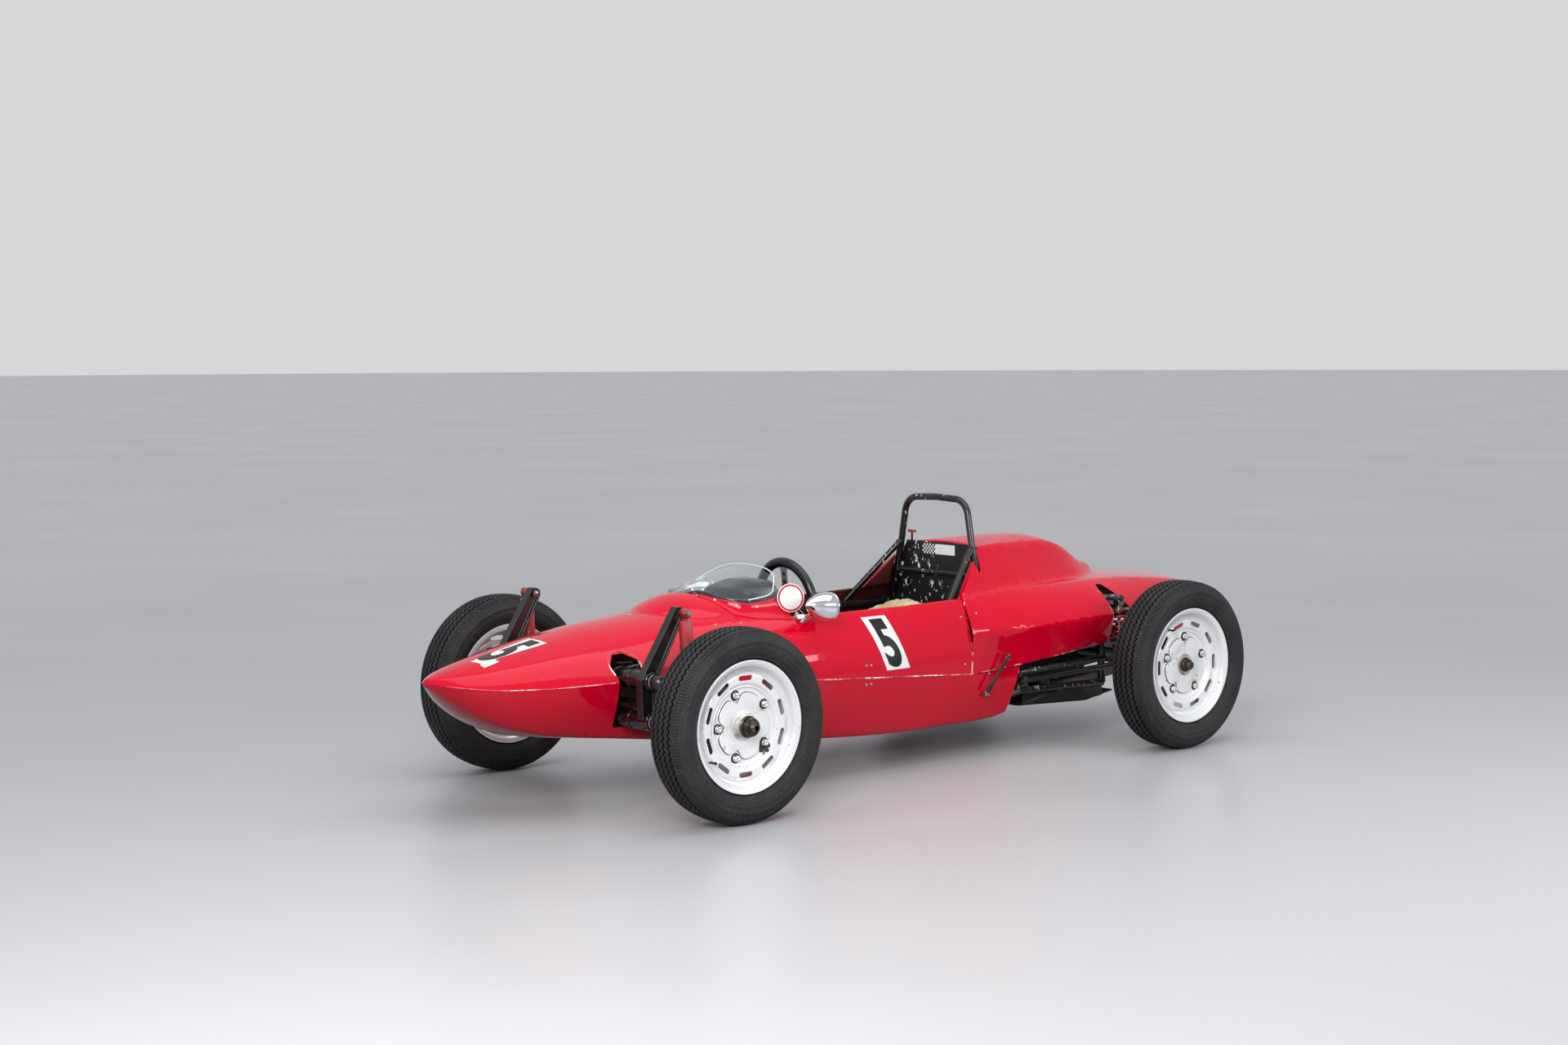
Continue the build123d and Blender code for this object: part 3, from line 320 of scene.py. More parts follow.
def clear_acrylic():
    """Vacuum-formed acrylic sheet: water clear with crisp reflections; it lets light through to what it covers."""
    material, tree, shader = finish_of("clear_acrylic_sheet", "#f4f8f8", 0.02, Metallic=1.0)
    rough_between(tree, shader, speckle(tree, 90, 0.55, 0.9, 5), 0.01, 0.08)
    through = add_node(tree, "ShaderNodeBsdfTransparent", {"Color": (0.95, 0.965, 0.965, 1)})
    # share of light reflected by a thin sheet: a few hundredths face on, most of it at a glance
    facing = add_node(tree, "ShaderNodeLayerWeight", {"Blend": 0.5}).outputs["Facing"]
    steep = add_node(tree, "ShaderNodeMath", {0: facing, 1: 4.5}, operation="POWER").outputs["Value"]
    share = add_node(tree, "ShaderNodeMath", {0: steep, 1: 0.8, 2: 0.035}, operation="MULTIPLY_ADD").outputs["Value"]
    mixed = add_node(tree, "ShaderNodeMixShader", {0: share, 1: through.outputs["BSDF"], 2: shader.outputs["BSDF"]})
    tree.links.new(mixed.outputs["Shader"], tree.nodes["Material Output"].inputs["Surface"])
    return material


def layered(name, colour, roughness, tints=(), spread=None, bump=None, *sockets):
    """A finish built up from patches.

    Each tint is a colour, its share and the speckles that are multiplied to place it; spread is a speckle and
    the lowest and highest roughness; bump is a speckle, its depth in millimetres and its strength; sockets are
    pairs of a shader socket and its value.
    """
    material, tree, shader = finish_of(name, colour, roughness, **dict(sockets))
    under = None
    for tint, share, *patches in tints:
        place = both(tree, *(speckle(tree, *patch) for patch in patches), share)
        under = tinted(tree, shader, place, tint, under)
    if spread:
        rough_between(tree, shader, speckle(tree, *spread[0]), *spread[1:])
    if bump:
        bumped(tree, shader, speckle(tree, *bump[0]), *bump[1:])
    return material


def chipped_enamel(name, colour, under, amount=0.63):
    """Brushed-on enamel on steel: half gloss, small chips that show what is under it."""
    chips = ((7, amount, amount + 0.03, 3, (1, 1, 0.6)), (120, 0.5, 0.6, 2))
    return layered(name, colour, 0.3, (("#6b675f", 0.06, (90, 0.4, 0.8, 4)), (under, 1, *chips)),
                   ((30, 0.3, 0.8, 4), 0.28, 0.55), ((6, 0.2, 0.8, 2), 0.15, 0.25),
                   ("Coat_Weight", 0.35), ("Coat_Roughness", 0.12))


def bright_plate(name, colour, roughness):
    """Polished plating: mirror-like with a little haze and fine pitting."""
    return layered(name, colour, roughness, (("#77736c", 0.5, (3, 0.68, 0.74, 2)),),
                   ((16, 0.4, 0.8, 4), roughness, roughness + 0.1), None, ("Metallic", 1.0))


def moulded_black(name, colour, roughness):
    """Hard black, polished by hands or brushed out: soft gloss, dusty, with a fine grain."""
    return layered(name, colour, roughness, (("#5a5650", 0.12, (35, 0.5, 0.8, 4)),),
                   ((25, 0.3, 0.8, 4), roughness - 0.08, roughness + 0.12), ((1.2, 0.2, 0.8, 1), 0.06, 0.2),
                   ("Coat_Weight", 0.25), ("Coat_Roughness", 0.12))


def vinyl(name, colour, soil):
    """Cut self-adhesive vinyl: even colour, semi-gloss, edges a little soiled."""
    return layered(name, colour, 0.33, ((soil, 0.25, (24, 0.5, 0.8, 5)),), ((30, 0.3, 0.8, 3), 0.25, 0.45))


# how each finish is made: a function and what it is given
FINISHES = {
    "red": (gel_coat_red,),
    # rubbed edge of the gel coat: paler red broken up by white and pink, partly chips where the laminate shows and
    # partly painted highlight along the rolled edge
    "rim_wear_and_highlight": (layered, "gel_coat_rubbed_rim", "#e0485c", 0.22, (
        ("#f4e6e0", 1, (55, 0.44, 0.56, 3)), ("#8e1420", 0.8, (11, 0.55, 0.62, 4))),
        ((20, 0.3, 0.8, 4), 0.15, 0.45)),
    "inside": (raw_laminate,),
    "black": (chipped_enamel, "black_frame_enamel", "#0c0c0d", "#c9c5bd"),
    "clean_black": (chipped_enamel, "black_pressing_enamel", "#0b0b0c", "#8f8b84", 0.72),
    "red_enamel": (chipped_enamel, "red_shock_enamel", "#a3151d", "#5a4a42", 0.66),
    # black painted aluminium sheet, rubbed through to white primer in flecks and scratches
    "sheet": (layered, "scuffed_black_sheet", "#101011", 0.42, (
        ("#e6e4df", 1, (7, 0.61, 0.64, 5, (1, 1, 0.6)), (110, 0.49, 0.56, 2)),), ((40, 0.3, 0.8, 4), 0.32, 0.6)),
    # moulded tyre rubber: matt black, grey bloom and road dust, fine mould grain
    "tyre": (layered, "moulded_tyre_rubber", "#222325", 0.72, (
        ("#4a4743", 0.3, (70, 0.4, 0.75, 5)), ("#7b756c", 0.2, (5, 0.6, 0.75, 2))),
        ((50, 0.3, 0.8, 3), 0.6, 0.85), ((1.6, 0.2, 0.8, 2), 0.12, 0.35), ("Specular_IOR_Level", 0.35)),
    # bottom of the tread grooves: near-black painted shade, dead matt, with grit caught in it
    "groove": (layered, "unworn_groove_rubber", "#050505", 0.95, (("#1c1a18", 1, (4, 0.62, 0.7, 2)),), None, None,
               ("Specular_IOR_Level", 0.0)),
    "silver": (silver_steel,),
    # oiled black steel of hub nuts: near black, worn bright on its arrises
    "dark_steel": (layered, "oiled_black_steel", "#3b342d", 0.38, (
        ("#211c17", 1, (24, 0.45, 0.7, 4)), ("#8f857a", 0.7, (5, 0.62, 0.7, 3))),
        ((15, 0.3, 0.8, 4), 0.28, 0.5), ((3, 0.2, 0.8, 2), 0.15, 0.3), ("Metallic", 0.7)),
    # machined iron under old grease: brown-grey, semi-gloss, uneven
    "iron": (layered, "greasy_machined_iron", "#5a5347", 0.45, (
        ("#2d2519", 1, (18, 0.4, 0.65, 5)), ("#8b8273", 0.6, (9, 0.55, 0.7, 3))),
        ((12, 0.3, 0.8, 4), 0.3, 0.65), ((3, 0.2, 0.8, 3), 0.2, 0.4), ("Metallic", 0.6)),
    "bright": (bright_plate, "bright_nickel_plate", "#e4e6e8", 0.06),
    "dull_plate": (bright_plate, "zinc_plate", "#a9a59b", 0.28),
    "spoke": (bright_plate, "brushed_aluminium_spoke", "#c9cbcd", 0.24),
    # sand-cast aluminium, oil-stained: grey, grainy
    "cast": (layered, "sand_cast_aluminium", "#85837f", 0.55, (("#4d453a", 1, (45, 0.45, 0.7, 5)),), None,
             ((2.5, 0.2, 0.8, 3), 0.35, 0.5), ("Metallic", 0.7)),
    "seat": (leathercloth,),
    "clear": (clear_acrylic,),
    # silvered glass with a trace of dust: a true mirror, hazed here and there
    "mirror": (layered, "silvered_glass", "#dfe5e8", 0.03, (), ((8, 0.5, 0.9, 3), 0.02, 0.12), None,
               ("Metallic", 1.0)),
    "grip": (moulded_black, "moulded_black_grip", "#0d0d0f", 0.3),
    "gloss": (moulded_black, "glossy_black_enamel", "#060607", 0.18),
    "clean_sheet": (moulded_black, "satin_black_tray", "#111112", 0.38),
    # natural rubber strap, perished brown-black
    "strap": (layered, "perished_strap_rubber", "#1c1512", 0.6, (("#4a2f22", 1, (14, 0.45, 0.7, 4)),), None,
              ((2, 0.2, 0.8, 3), 0.25, 0.5)),
    "white": (vinyl, "white_vinyl", "#f1f0ec", "#c4beb2"),
    "figure": (vinyl, "black_vinyl", "#0b0b0c", "#2c2b29"),
    "ring": (vinyl, "red_vinyl", "#c4152a", "#8d1420"),
    "dial": (vinyl, "dial_face", "#0f0f10", "#1d1d1d"),
    # opaque pale bead along the screen's edge: painted highlight on the clear acrylic's edge
    "screen_edge_highlight": (vinyl, "polished_acrylic_edge", "#dfe6e6", "#a9b2b2"),
    # mild steel pipe, blued and rusted by heat: brown over grey, rough
    "exhaust": (layered, "heat_stained_steel", "#6a625a", 0.5, (
        ("#5b3a26", 1, (70, 0.4, 0.65, 5)), ("#30241c", 0.6, (8, 0.5, 0.7, 4))), None,
        ((3, 0.2, 0.8, 4), 0.2, 0.5), ("Metallic", 0.75)),
}
MATERIALS = {}


def material(name):
    """The named finish, made when it is first used."""
    if name not in MATERIALS:
        maker, *given = FINISHES[name]
        MATERIALS[name] = maker(*given)
    return MATERIALS[name]


# ---------------------------------------------------------------- shared modelling
def linked(name, data):
    """A new object in the scene."""
    made = bpy.data.objects.new(name, data)
    bpy.context.scene.collection.objects.link(made)
    return made


def evaluated_mesh(source):
    """A new mesh: the object's own after its modifiers, or what its curve makes."""
    bpy.context.view_layer.update()
    return bpy.data.meshes.new_from_object(source.evaluated_get(bpy.context.evaluated_depsgraph_get()))


def as_piece(name, bm, body, slot, finishes, replaces=(), sharp=32, bevel=0.0, segments=2):
    """Turn a bmesh into a piece that rides on a body, with its finishes and smooth shading."""
    mesh = bpy.data.meshes.new(name)
    bm.to_mesh(mesh)
    bm.free()
    for finish in finishes:
        mesh.materials.append(material(finish))
    mesh.shade_smooth()
    mesh.set_sharp_from_angle(angle=math.radians(sharp))
    piece = linked(name, mesh)
    if bevel:
        rounded = piece.modifiers.new("rounded edges", "BEVEL")
        rounded.width = bevel
        rounded.segments = segments
        rounded.limit_method = "ANGLE"
        rounded.angle_limit = math.radians(sharp)
    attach(piece, body)
    if replaces:
        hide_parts(*replaces)
    return piece


def parts(name, slot, finish, *shapes, body="chassis", **more):
    """A piece made of shapes, each a modelling function and what it is given after the bmesh."""
    bm = bmesh.new()
    for shape, *given in shapes:
        shape(bm, *given)
    return as_piece(name, bm, body, slot, [finish], **more)


def cad_shape(name):
    """The CAD node's mesh with its loose triangles joined up."""
    bm = bmesh.new()
    bm.from_mesh(NODES[name].data)
    bmesh.ops.remove_doubles(bm, verts=bm.verts, dist=0.00002)
    return bm


def refinish(name, slot, finish, sharp=32):
    """A CAD node whose shape is right, with joined-up smooth shading."""
    body = NODES[name]["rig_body"]
    return as_piece(f"{name}_finished", cad_shape(name), body, slot, [finish], [name], sharp)


def cross_frame(axis):
    """Two directions at right angles to an axis."""
    axis = Vector(axis).normalized()
    across = axis.cross(Z_AXIS) if abs(axis.z) < 0.9 else axis.cross(X_AXIS)
    across.normalize()
    return across, axis.cross(across)


def turned(bm, profile, centre, axis, steps, closed=False):
    """Spin a profile of (radius, distance along the axis) points."""
    before = set(bm.verts)
    centre, axis = Vector(centre), Vector(axis).normalized()
    across = cross_frame(axis)[0]
    verts = [bm.verts.new(centre + across * r + axis * d) for r, d in profile]
    edges = [bm.edges.new(pair) for pair in zip(verts, verts[1:])]
    if closed:
        edges.append(bm.edges.new((verts[-1], verts[0])))
    bmesh.ops.spin(bm, geom=verts + edges, cent=centre, axis=axis, dvec=(0, 0, 0), angle=math.tau,
                   steps=steps, use_merge=True, use_duplicate=False)
    new = [v for v in bm.verts if v not in before]
    bmesh.ops.remove_doubles(bm, verts=new, dist=1e-6)
    new = [v for v in bm.verts if v not in before]
    faces = {f for v in new for f in v.link_faces}
    bmesh.ops.recalc_face_normals(bm, faces=list(faces))


def rod(bm, start, end, radius, sides=20, end_radius=None):
    """Capped round bar between two points."""
    start, end = Vector(start), Vector(end)
    turn = (end - start).to_track_quat("Z", "Y").to_matrix().to_4x4()
    bmesh.ops.create_cone(
        bm, cap_ends=True, segments=sides, radius1=radius,
        radius2=radius if end_radius is None else end_radius, depth=(end - start).length,
        matrix=Matrix.Translation((start + end) / 2) @ turn)


def block(bm, centre, size):
    """Rectangular block."""
    bmesh.ops.create_cube(bm, size=1, matrix=Matrix.Translation(Vector(centre)) @ Matrix.Diagonal((*size, 1)))


def hex_bolt(bm, seat, axis, across, height, washer=True):
    """Hexagon head on a washer, standing on its seat."""
    seat, axis = Vector(seat), Vector(axis).normalized()
    if washer:
        rod(bm, seat, seat + axis * height * 0.22, across * 0.72, 20)
    rod(bm, seat + axis * height * 0.2, seat + axis * height * 0.9, across * 0.56, 6)
    rod(bm, seat + axis * height * 0.9, seat + axis * height, across * 0.55, 6, across * 0.44)


def round_screw(bm, seat, axis, radius):
    """Domed screw head with a hollow in its top, standing on its seat."""
    profile = [(radius, -0.0006), (radius, 0.0004), (radius * 0.8, radius * 0.38), (radius * 0.45, radius * 0.52),
               (radius * 0.2, radius * 0.5), (radius * 0.18, radius * 0.3), (0, radius * 0.3)]
    turned(bm, profile, seat, axis, 14)


def ring(bm, centre, axis, radius, thick, steps=64, sides=10, squash=1.0):
    """Torus round an axis; squash flattens its section along the axis."""
    profile = [(radius + thick * math.cos(a), squash * thick * math.sin(a))
               for a in [math.tau * i / sides for i in range(sides)]]
    turned(bm, profile, centre, axis, steps, closed=True)


def strip(start, way, wide, rows):
    """Outline of a strip along way, from rows of (distance, half width)."""
    return ([start + way * along + wide * half for along, half in rows]
            + [start + way * along - wide * half for along, half in reversed(rows)])


def grown(bm, face, along):
    """Extrude a face along a vector; returns the cap."""
    made = bmesh.ops.extrude_face_region(bm, geom=[face])["geom"]
    bmesh.ops.translate(bm, verts=[g for g in made if isinstance(g, bmesh.types.BMVert)], vec=along)
    return next(g for g in made if isinstance(g, bmesh.types.BMFace))


def plate(bm, outline, thick):
    """Flat plate from an outline of points, made thick along its normal."""
    face = bm.faces.new([bm.verts.new(p) for p in outline])
    face.normal_update()
    cap = grown(bm, face, face.normal * thick)
    sides = {f for v in (*face.verts, *cap.verts) for f in v.link_faces}
    bmesh.ops.recalc_face_normals(bm, faces=list(sides))


def curve_shape(curve):
    """What a curve or a text makes, as a bmesh; the curve itself goes."""
    source = linked(curve.name + "_route", curve)
    mesh = evaluated_mesh(source)
    bpy.data.objects.remove(source)
    bm = bmesh.new()
    bm.from_mesh(mesh)
    bpy.data.meshes.remove(mesh)
    return bm


def bead(name, points, radius, slot, finish):
    """Smooth round wire or raised line along control points."""
    curve = bpy.data.curves.new(name, "CURVE")
    curve.dimensions = "3D"
    curve.bevel_depth = radius
    curve.bevel_resolution = 4
    curve.resolution_u = 8
    curve.use_fill_caps = True
    spline = curve.splines.new("NURBS")
    spline.points.add(len(points) - 1)
    for point, place in zip(spline.points, points):
        point.co = (*place, 1)
    spline.use_endpoint_u = True
    spline.order_u = 3
    bm = curve_shape(curve)
    bmesh.ops.remove_doubles(bm, verts=bm.verts, dist=1e-6)
    bmesh.ops.recalc_face_normals(bm, faces=bm.faces)
    for face in bm.faces:
        face.material_index = 0
    as_piece(name, bm, "chassis", slot, [finish], sharp=50)


def wheel_place(name):
    """Centre of a wheel, the direction outboard, and the body that it turns with."""
    low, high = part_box("tyre_" + name)
    side = 1 if name.endswith("left") else -1
    return (low + high) / 2, Y_AXIS * side, "wheel_" + name


def seam_height(x):
    """Height of the line between the upper and the lower body."""
    for (x0, z0), (x1, z1) in zip(SEAM_LINE, SEAM_LINE[1:]):
        if x1 <= x <= x0:
            return z0 + (z1 - z0) * (x - x0) / (x1 - x0)
    return SEAM_LINE[-1][1]


# ---------------------------------------------------------------- body panels
def rim_edges(bm):
    """Edges between a panel's skin and its cut rim: thin behind one of the two faces, deep behind the other."""
    tree = BVHTree.FromBMesh(bm)
    rims = []
    just_inside, open_air = 0.0008, 0.5
    for edge in bm.edges:
        if len(edge.link_faces) != 2 or edge.calc_face_angle(0) < math.radians(50):
            continue
        middle = (edge.verts[0].co + edge.verts[1].co) / 2
        first, second = (face.normal for face in edge.link_faces)
        start = middle - (first + second) * just_inside
        depths = [tree.ray_cast(start, -normal)[3] for normal in (first, second)]
        depths = sorted(open_air if depth is None else depth for depth in depths)
        if depths[0] < WALL[0] < WALL[1] < depths[1]:
            rims.append(edge)
    return rims


def body_panel(name):
    """A laminate panel: gel coat outside, raw inside, with each point's nearness to the panel's rim."""
    bm = cad_shape(name)
    long_edges = [e for e in bm.edges if e.calc_length() > 0.03]
    bmesh.ops.subdivide_edges(bm, edges=long_edges, cuts=1, use_grid_fill=False)
    bmesh.ops.triangulate(bm, faces=[f for f in bm.faces if len(f.verts) > 4])
    bm.normal_update()
    rims = rim_edges(bm)
    tree = KDTree(max(1, len(rims) * 3))
    for i, edge in enumerate(rims):
        for j, place in enumerate((edge.verts[0].co, edge.verts[1].co, (edge.verts[0].co + edge.verts[1].co) / 2)):
            tree.insert(place, 3 * i + j)
    tree.balance()
    layer = bm.verts.layers.float.new("edge")
    for vert in bm.verts:
        distance = tree.find(vert.co)[2]
        vert[layer] = 0.0 if distance is None else max(0.0, 1 - distance / RIM_REACH)
    for face in bm.faces:
        middle = face.calc_center_median()
        # the inside faces the panel's middle axis; cut rims stay red
        from_axis = Vector((max(0.0, middle.x - 1.55), middle.y, middle.z - (0.41 if middle.x > 1.0 else 0.35)))
        face.material_index = 0 if face.normal.dot(from_axis.normalized()) > -0.22 else 1
    as_piece(f"{name}_panel", bm, "chassis", "body_red", ["red", "inside"], [name], sharp=25)


class RACINGCAR_OT_body(bpy.types.Operator):
    """Upper body, belly and engine cover in polished laminate"""

    bl_idname = "racing_car.body"
    bl_label = "Body panels"

    def execute(self, context):
        for name in PANELS:
            body_panel(name)
        return {"FINISHED"}


def on_skin(skins, start, direction):
    """Where a line from start first meets a body panel, and the panel's normal there."""
    hits = [hit for hit in (tree.ray_cast(start, direction) for tree in skins) if hit[0]]
    if not hits:
        raise RuntimeError(f"nothing to stick to from {start}")
    place, normal, _, _ = min(hits, key=lambda hit: hit[3])
    return place, normal if normal.dot(direction) < 0 else -normal


def panel_trees():
    """Search trees of the finished panels, for laying things on them."""
    graph = bpy.context.evaluated_depsgraph_get()
    return [BVHTree.FromObject(bpy.data.objects[f"{name}_panel"], graph) for name in PANELS]


def cut_grid(bm, step):
    """Cut a flat shape along a grid, so that it can follow a curved panel."""
    low = [min(v.co[i] for v in bm.verts) for i in (0, 1)]
    high = [max(v.co[i] for v in bm.verts) for i in (0, 1)]
    for i, direction in ((0, X_AXIS), (1, Y_AXIS)):
        place = low[i] + step
        while place < high[i]:
            bmesh.ops.bisect_plane(bm, geom=[*bm.verts, *bm.edges, *bm.faces], dist=1e-6,
                                   plane_co=direction * place, plane_no=direction)
            place += step


def sticker(name, bm, origin, across, up, skins, lift, finish):
    """Lay a flat shape, drawn in metres about its middle, on the body by looking along its normal."""
    cut_grid(bm, 0.012)
    towards = -across.cross(up).normalized()
    for vert in bm.verts:
        start = origin + across * vert.co.x + up * vert.co.y - towards * 0.3
        place, normal = on_skin(skins, start, towards)
        vert.co = place + normal * lift
    bmesh.ops.recalc_face_normals(bm, faces=bm.faces)
    sample = next(iter(bm.faces))
    sample.normal_update()
    if sample.normal.dot(towards) > 0:
        bmesh.ops.reverse_faces(bm, faces=bm.faces)
    as_piece(name, bm, "chassis", "body_red", [finish], sharp=60)


def figure_shape(text, width, height):
    """The racing number as a flat mesh of the given size about its middle."""
    curve = bpy.data.curves.new("figure", "FONT")
    curve.body = text
    curve.offset = 0.04
    curve.align_x, curve.align_y = "CENTER", "CENTER"
    bm = curve_shape(curve)
    for i, size in ((0, width), (1, height)):
        low, high = min(v.co[i] for v in bm.verts), max(v.co[i] for v in bm.verts)
        for vert in bm.verts:
            vert.co[i] = (vert.co[i] - (low + high) / 2) * size / (high - low)
    bmesh.ops.remove_doubles(bm, verts=bm.verts, dist=1e-5)
    return bm


def flat_shape(corners):
    """A flat face in the XY plane."""
    bm = bmesh.new()
    bm.faces.new([bm.verts.new((x, y, 0)) for x, y in corners])
    return bm


def oblong(width, height):
    """An upright oblong about the origin."""
    return flat_shape([(-width / 2, -height / 2), (width / 2, -height / 2), (width / 2, height / 2),
                       (-width / 2, height / 2)])


def rubbed_highlight_line(name, places, side, skins, radius):
    """Raised, worn line that follows the body's side through places given as (x, z); its pale finish is partly chips
    and partly painted highlight.
    """
    points = []
    for x, z in places:
        try:
            place, normal = on_skin(skins, Vector((x, side * 0.6, z)), Vector((0, -side, 0)))
        except RuntimeError:
            continue  # the body is cut away here
        points.append(place + normal * radius * 0.2)
    bead(name, points, radius, "body_red", "rim_wear_and_highlight")


class RACINGCAR_OT_markings(bpy.types.Operator):
    """Number panels, screws and rivets on the body"""

    bl_idname = "racing_car.markings"
    bl_label = "Numbers and screws"

    def execute(self, context):
        skins = panel_trees()
        number = context.scene.racing_car.body.number
        nose, towards_tail = Vector((1.486, 0.031, 0.7)), Vector((-1, 0, 0))
        panel = flat_shape([(-0.053, 0.121), (-0.016, -0.124), (0.029, -0.112), (0.047, 0.124)])
        lift, figure_lift = 0.0008, 0.0014
        sticker("number_panel_nose", panel, nose, Y_AXIS, towards_tail, skins, lift, "white")
        sticker("number_figure_nose", figure_shape(number, 0.064, 0.212), nose + Vector((-0.006, 0.001, 0)), Y_AXIS,
                towards_tail, skins, figure_lift, "figure")
        sticker("small_panel_nose", oblong(0.026, 0.055), Vector((1.578, 0.074, 0.7)), Y_AXIS, towards_tail, skins,
                lift, "white")
        for name, side in SIDES:
            lean = Vector((0.074, 0, 0.19)).normalized()
            place, across = Vector((0.112, side * 0.5, 0.451)), Vector((-side, 0, 0))
            sticker(f"number_panel_{name}", oblong(0.112, 0.196), place, across, lean, skins, lift, "white")
            sticker(f"number_figure_{name}", figure_shape(number, 0.074, 0.178), place, across, lean, skins,
                    figure_lift, "figure")
            # the beads along the seam, the nose and the slot's lip are paler than the body: partly chips, partly
            # painted highlight
            for line, start, step, count, above, radius in (("seam", 1.13, 0.0305, 47, 0.002, 0.0026),
                                                            ("nose", 1.735, 0.03, 17, 0.001, 0.0015)):
                places = [(start - step * i, seam_height(start - step * i) + above) for i in range(count)]
                rubbed_highlight_line(f"{line}_bead_{name}", places, side, skins, radius)
            rubbed_highlight_line(f"slot_lip_{name}", BEAM_SLOT, side, skins, 0.0026)
        parts("panel_screws", "polished", "dull_plate", *(
            (round_screw, *on_skin(skins, Vector((x, side * 0.6, z)), Y_AXIS * -side), 0.0045)
            for side in (1, -1) for x, z in PANEL_SCREWS))
        return {"FINISHED"}


# ---------------------------------------------------------------- cockpit
def scuttle_point(x, share, side, skins):
    """Point on the flare that carries the screen: share runs from the body's skin to the screen's foot."""
    ahead, behind = next(pair for pair in zip(SCUTTLE, SCUTTLE[1:]) if pair[1][0] - 1e-6 <= x <= pair[0][0] + 1e-6)
    mix = (ahead[0] - x) / (ahead[0] - behind[0])
    edge, edge_z, foot, foot_z = (a + (b - a) * mix for a, b in zip(ahead[1:], behind[1:]))
    low = on_skin(skins, Vector((x, side * (edge + 0.014), 0.8)), -Z_AXIS)[0]
    bend = Vector((x, side * (foot + 0.35 * (edge - foot)), edge_z + 0.002 + 0.25 * (foot_z - edge_z)))
    high = Vector((x, side * (foot + 0.003), foot_z + 0.001))
    return low.lerp(bend, share).lerp(bend.lerp(high, share), share)


class RACINGCAR_OT_screen(bpy.types.Operator):
    """Windscreen, instrument hood with its dials, and the round sign on the screen"""

    bl_idname = "racing_car.screen"
    bl_label = "Screen and dials"

    def execute(self, context):
        refinish("windscreen", "clear", "clear", sharp=60)
        skins = panel_trees()
        for name, side in SIDES:
            bm = bmesh.new()
            bmesh.ops.create_grid(bm, x_segments=43, y_segments=8, size=1)
            for vert in bm.verts:
                x = SCUTTLE[0][0] + (SCUTTLE[-1][0] - SCUTTLE[0][0]) * (vert.co.x + 1) / 2
                vert.co = scuttle_point(x, (vert.co.y + 1) / 2, side, skins)
            if side > 0:
                bmesh.ops.reverse_faces(bm, faces=bm.faces)
            flare = as_piece(f"scuttle_flare_{name}", bm, "chassis", "body_red", ["red"], sharp=60)
            wall = flare.modifiers.new("laminate", "SOLIDIFY")
            wall.thickness = 0.002
            wall.offset = -1
        refinish("instrument_hood", "black_satin", "gloss")
        half = [(0.637, 0.205, 0.6285), (0.6, 0.2145, 0.6335), (0.565, 0.2195, 0.639), (0.54, 0.2165, 0.65),
                (0.515, 0.192, 0.672), (0.492, 0.166, 0.692), (0.478, 0.14, 0.706), (0.471, 0.09, 0.719)]
        points = half + [(0.468, 0, 0.7245)] + [(x, -y, z) for x, y, z in reversed(half)]
        # pale bead along the screen's rear edge: painted highlight of the edge
        bead("screen_edge_highlight", points, 0.0022, "clear", "screen_edge_highlight")
        parts("screen_screws", "polished", "white", *(
            (round_screw, scuttle_point(x, 0.8, side, skins), (0.1, side, 0.75), 0.0054)
            for side in (1, -1) for x in (0.716, 0.672, 0.61)))
        self.dials()
        self.sign()
        return {"FINISHED"}

    def dials(self):
        """Three round dials with their marks and needles."""
        faces, bezels, needles = [], [], []
        for y, z, radius in ((0.0, 0.64, 0.03), (-0.068, 0.628, 0.022), (0.068, 0.628, 0.022)):
            centre = Vector((0.4278, y, z))
            front = centre - X_AXIS * 0.002
            faces.append((rod, centre, front, radius, 40))
            bezels.append((ring, front, -X_AXIS, radius, 0.0028, 40, 8))
            for i in range(9):
                angle = math.radians(-210 + 30 * i)
                mark = Vector((0, math.cos(angle), -math.sin(angle)))
                base = centre - X_AXIS * 0.0024
                needles.append((rod, base + mark * radius * 0.74, base + mark * radius * 0.9, 0.0007, 6))
            tip, base = Vector((0, math.cos(2.4), math.sin(2.4))), centre - X_AXIS * 0.003
            needles.append((rod, base - tip * radius * 0.15, base + tip * radius * 0.7, 0.0009, 6, 0.0003))
            needles.append((rod, front, centre - X_AXIS * 0.0045, 0.003, 12))
        parts("dial_faces", "black_satin", "dial", *faces)
        parts("dial_bezels", "polished", "bright", *bezels)
        parts("dial_needles", "polished", "white", *needles)

    def sign(self):
        """Round sign, left blank, at the left end of the screen."""
        centre, normal = Vector((0.49, 0.25, 0.629)), Vector((0.35, 0.93, 0.12)).normalized()
        parts("sign_face", "handle_red", "white", (turned, [
            (0, -0.001), (0.0475, -0.001), (0.048, -0.0004), (0.048, 0.0008), (0.0472, 0.0012), (0, 0.0012)],
            centre, normal, 64))
        parts("sign_ring", "handle_red", "ring", (turned, [
            (0.0392, 0.001), (0.0392, 0.0017), (0.0452, 0.0017), (0.0452, 0.001)], centre, normal, 64, True))
        parts("sign_stalk", "polished", "dull_plate",
              (rod, centre - normal * 0.003 - Z_AXIS * 0.03, (0.5, 0.243, 0.552), 0.003, 10))
        parts("sign_screw", "polished", "bright", (round_screw, (0.472, 0.262, 0.574), normal, 0.0078))


def pad_form(middle_at, thick, cuts):
    """Slab with rounded corners over a patch, as a start for a stuffed pad.

    middle_at gives the middle of the pad and its normal for (across, along), each -1 to 1.
    """
    bm = bmesh.new()
    bmesh.ops.create_cube(bm, size=2)
    bmesh.ops.subdivide_edges(bm, edges=bm.edges, cuts=cuts, use_grid_fill=True)
    for vert in bm.verts:
        u, v, w = vert.co
        middle, normal = middle_at(u, v)
        rim = max(abs(u), abs(v))
        thinner = 1 - 0.45 * max(0.0, (rim - 0.72) / 0.28) ** 2
        vert.co = middle + normal * (w * thick / 2 * thinner)
    return bm


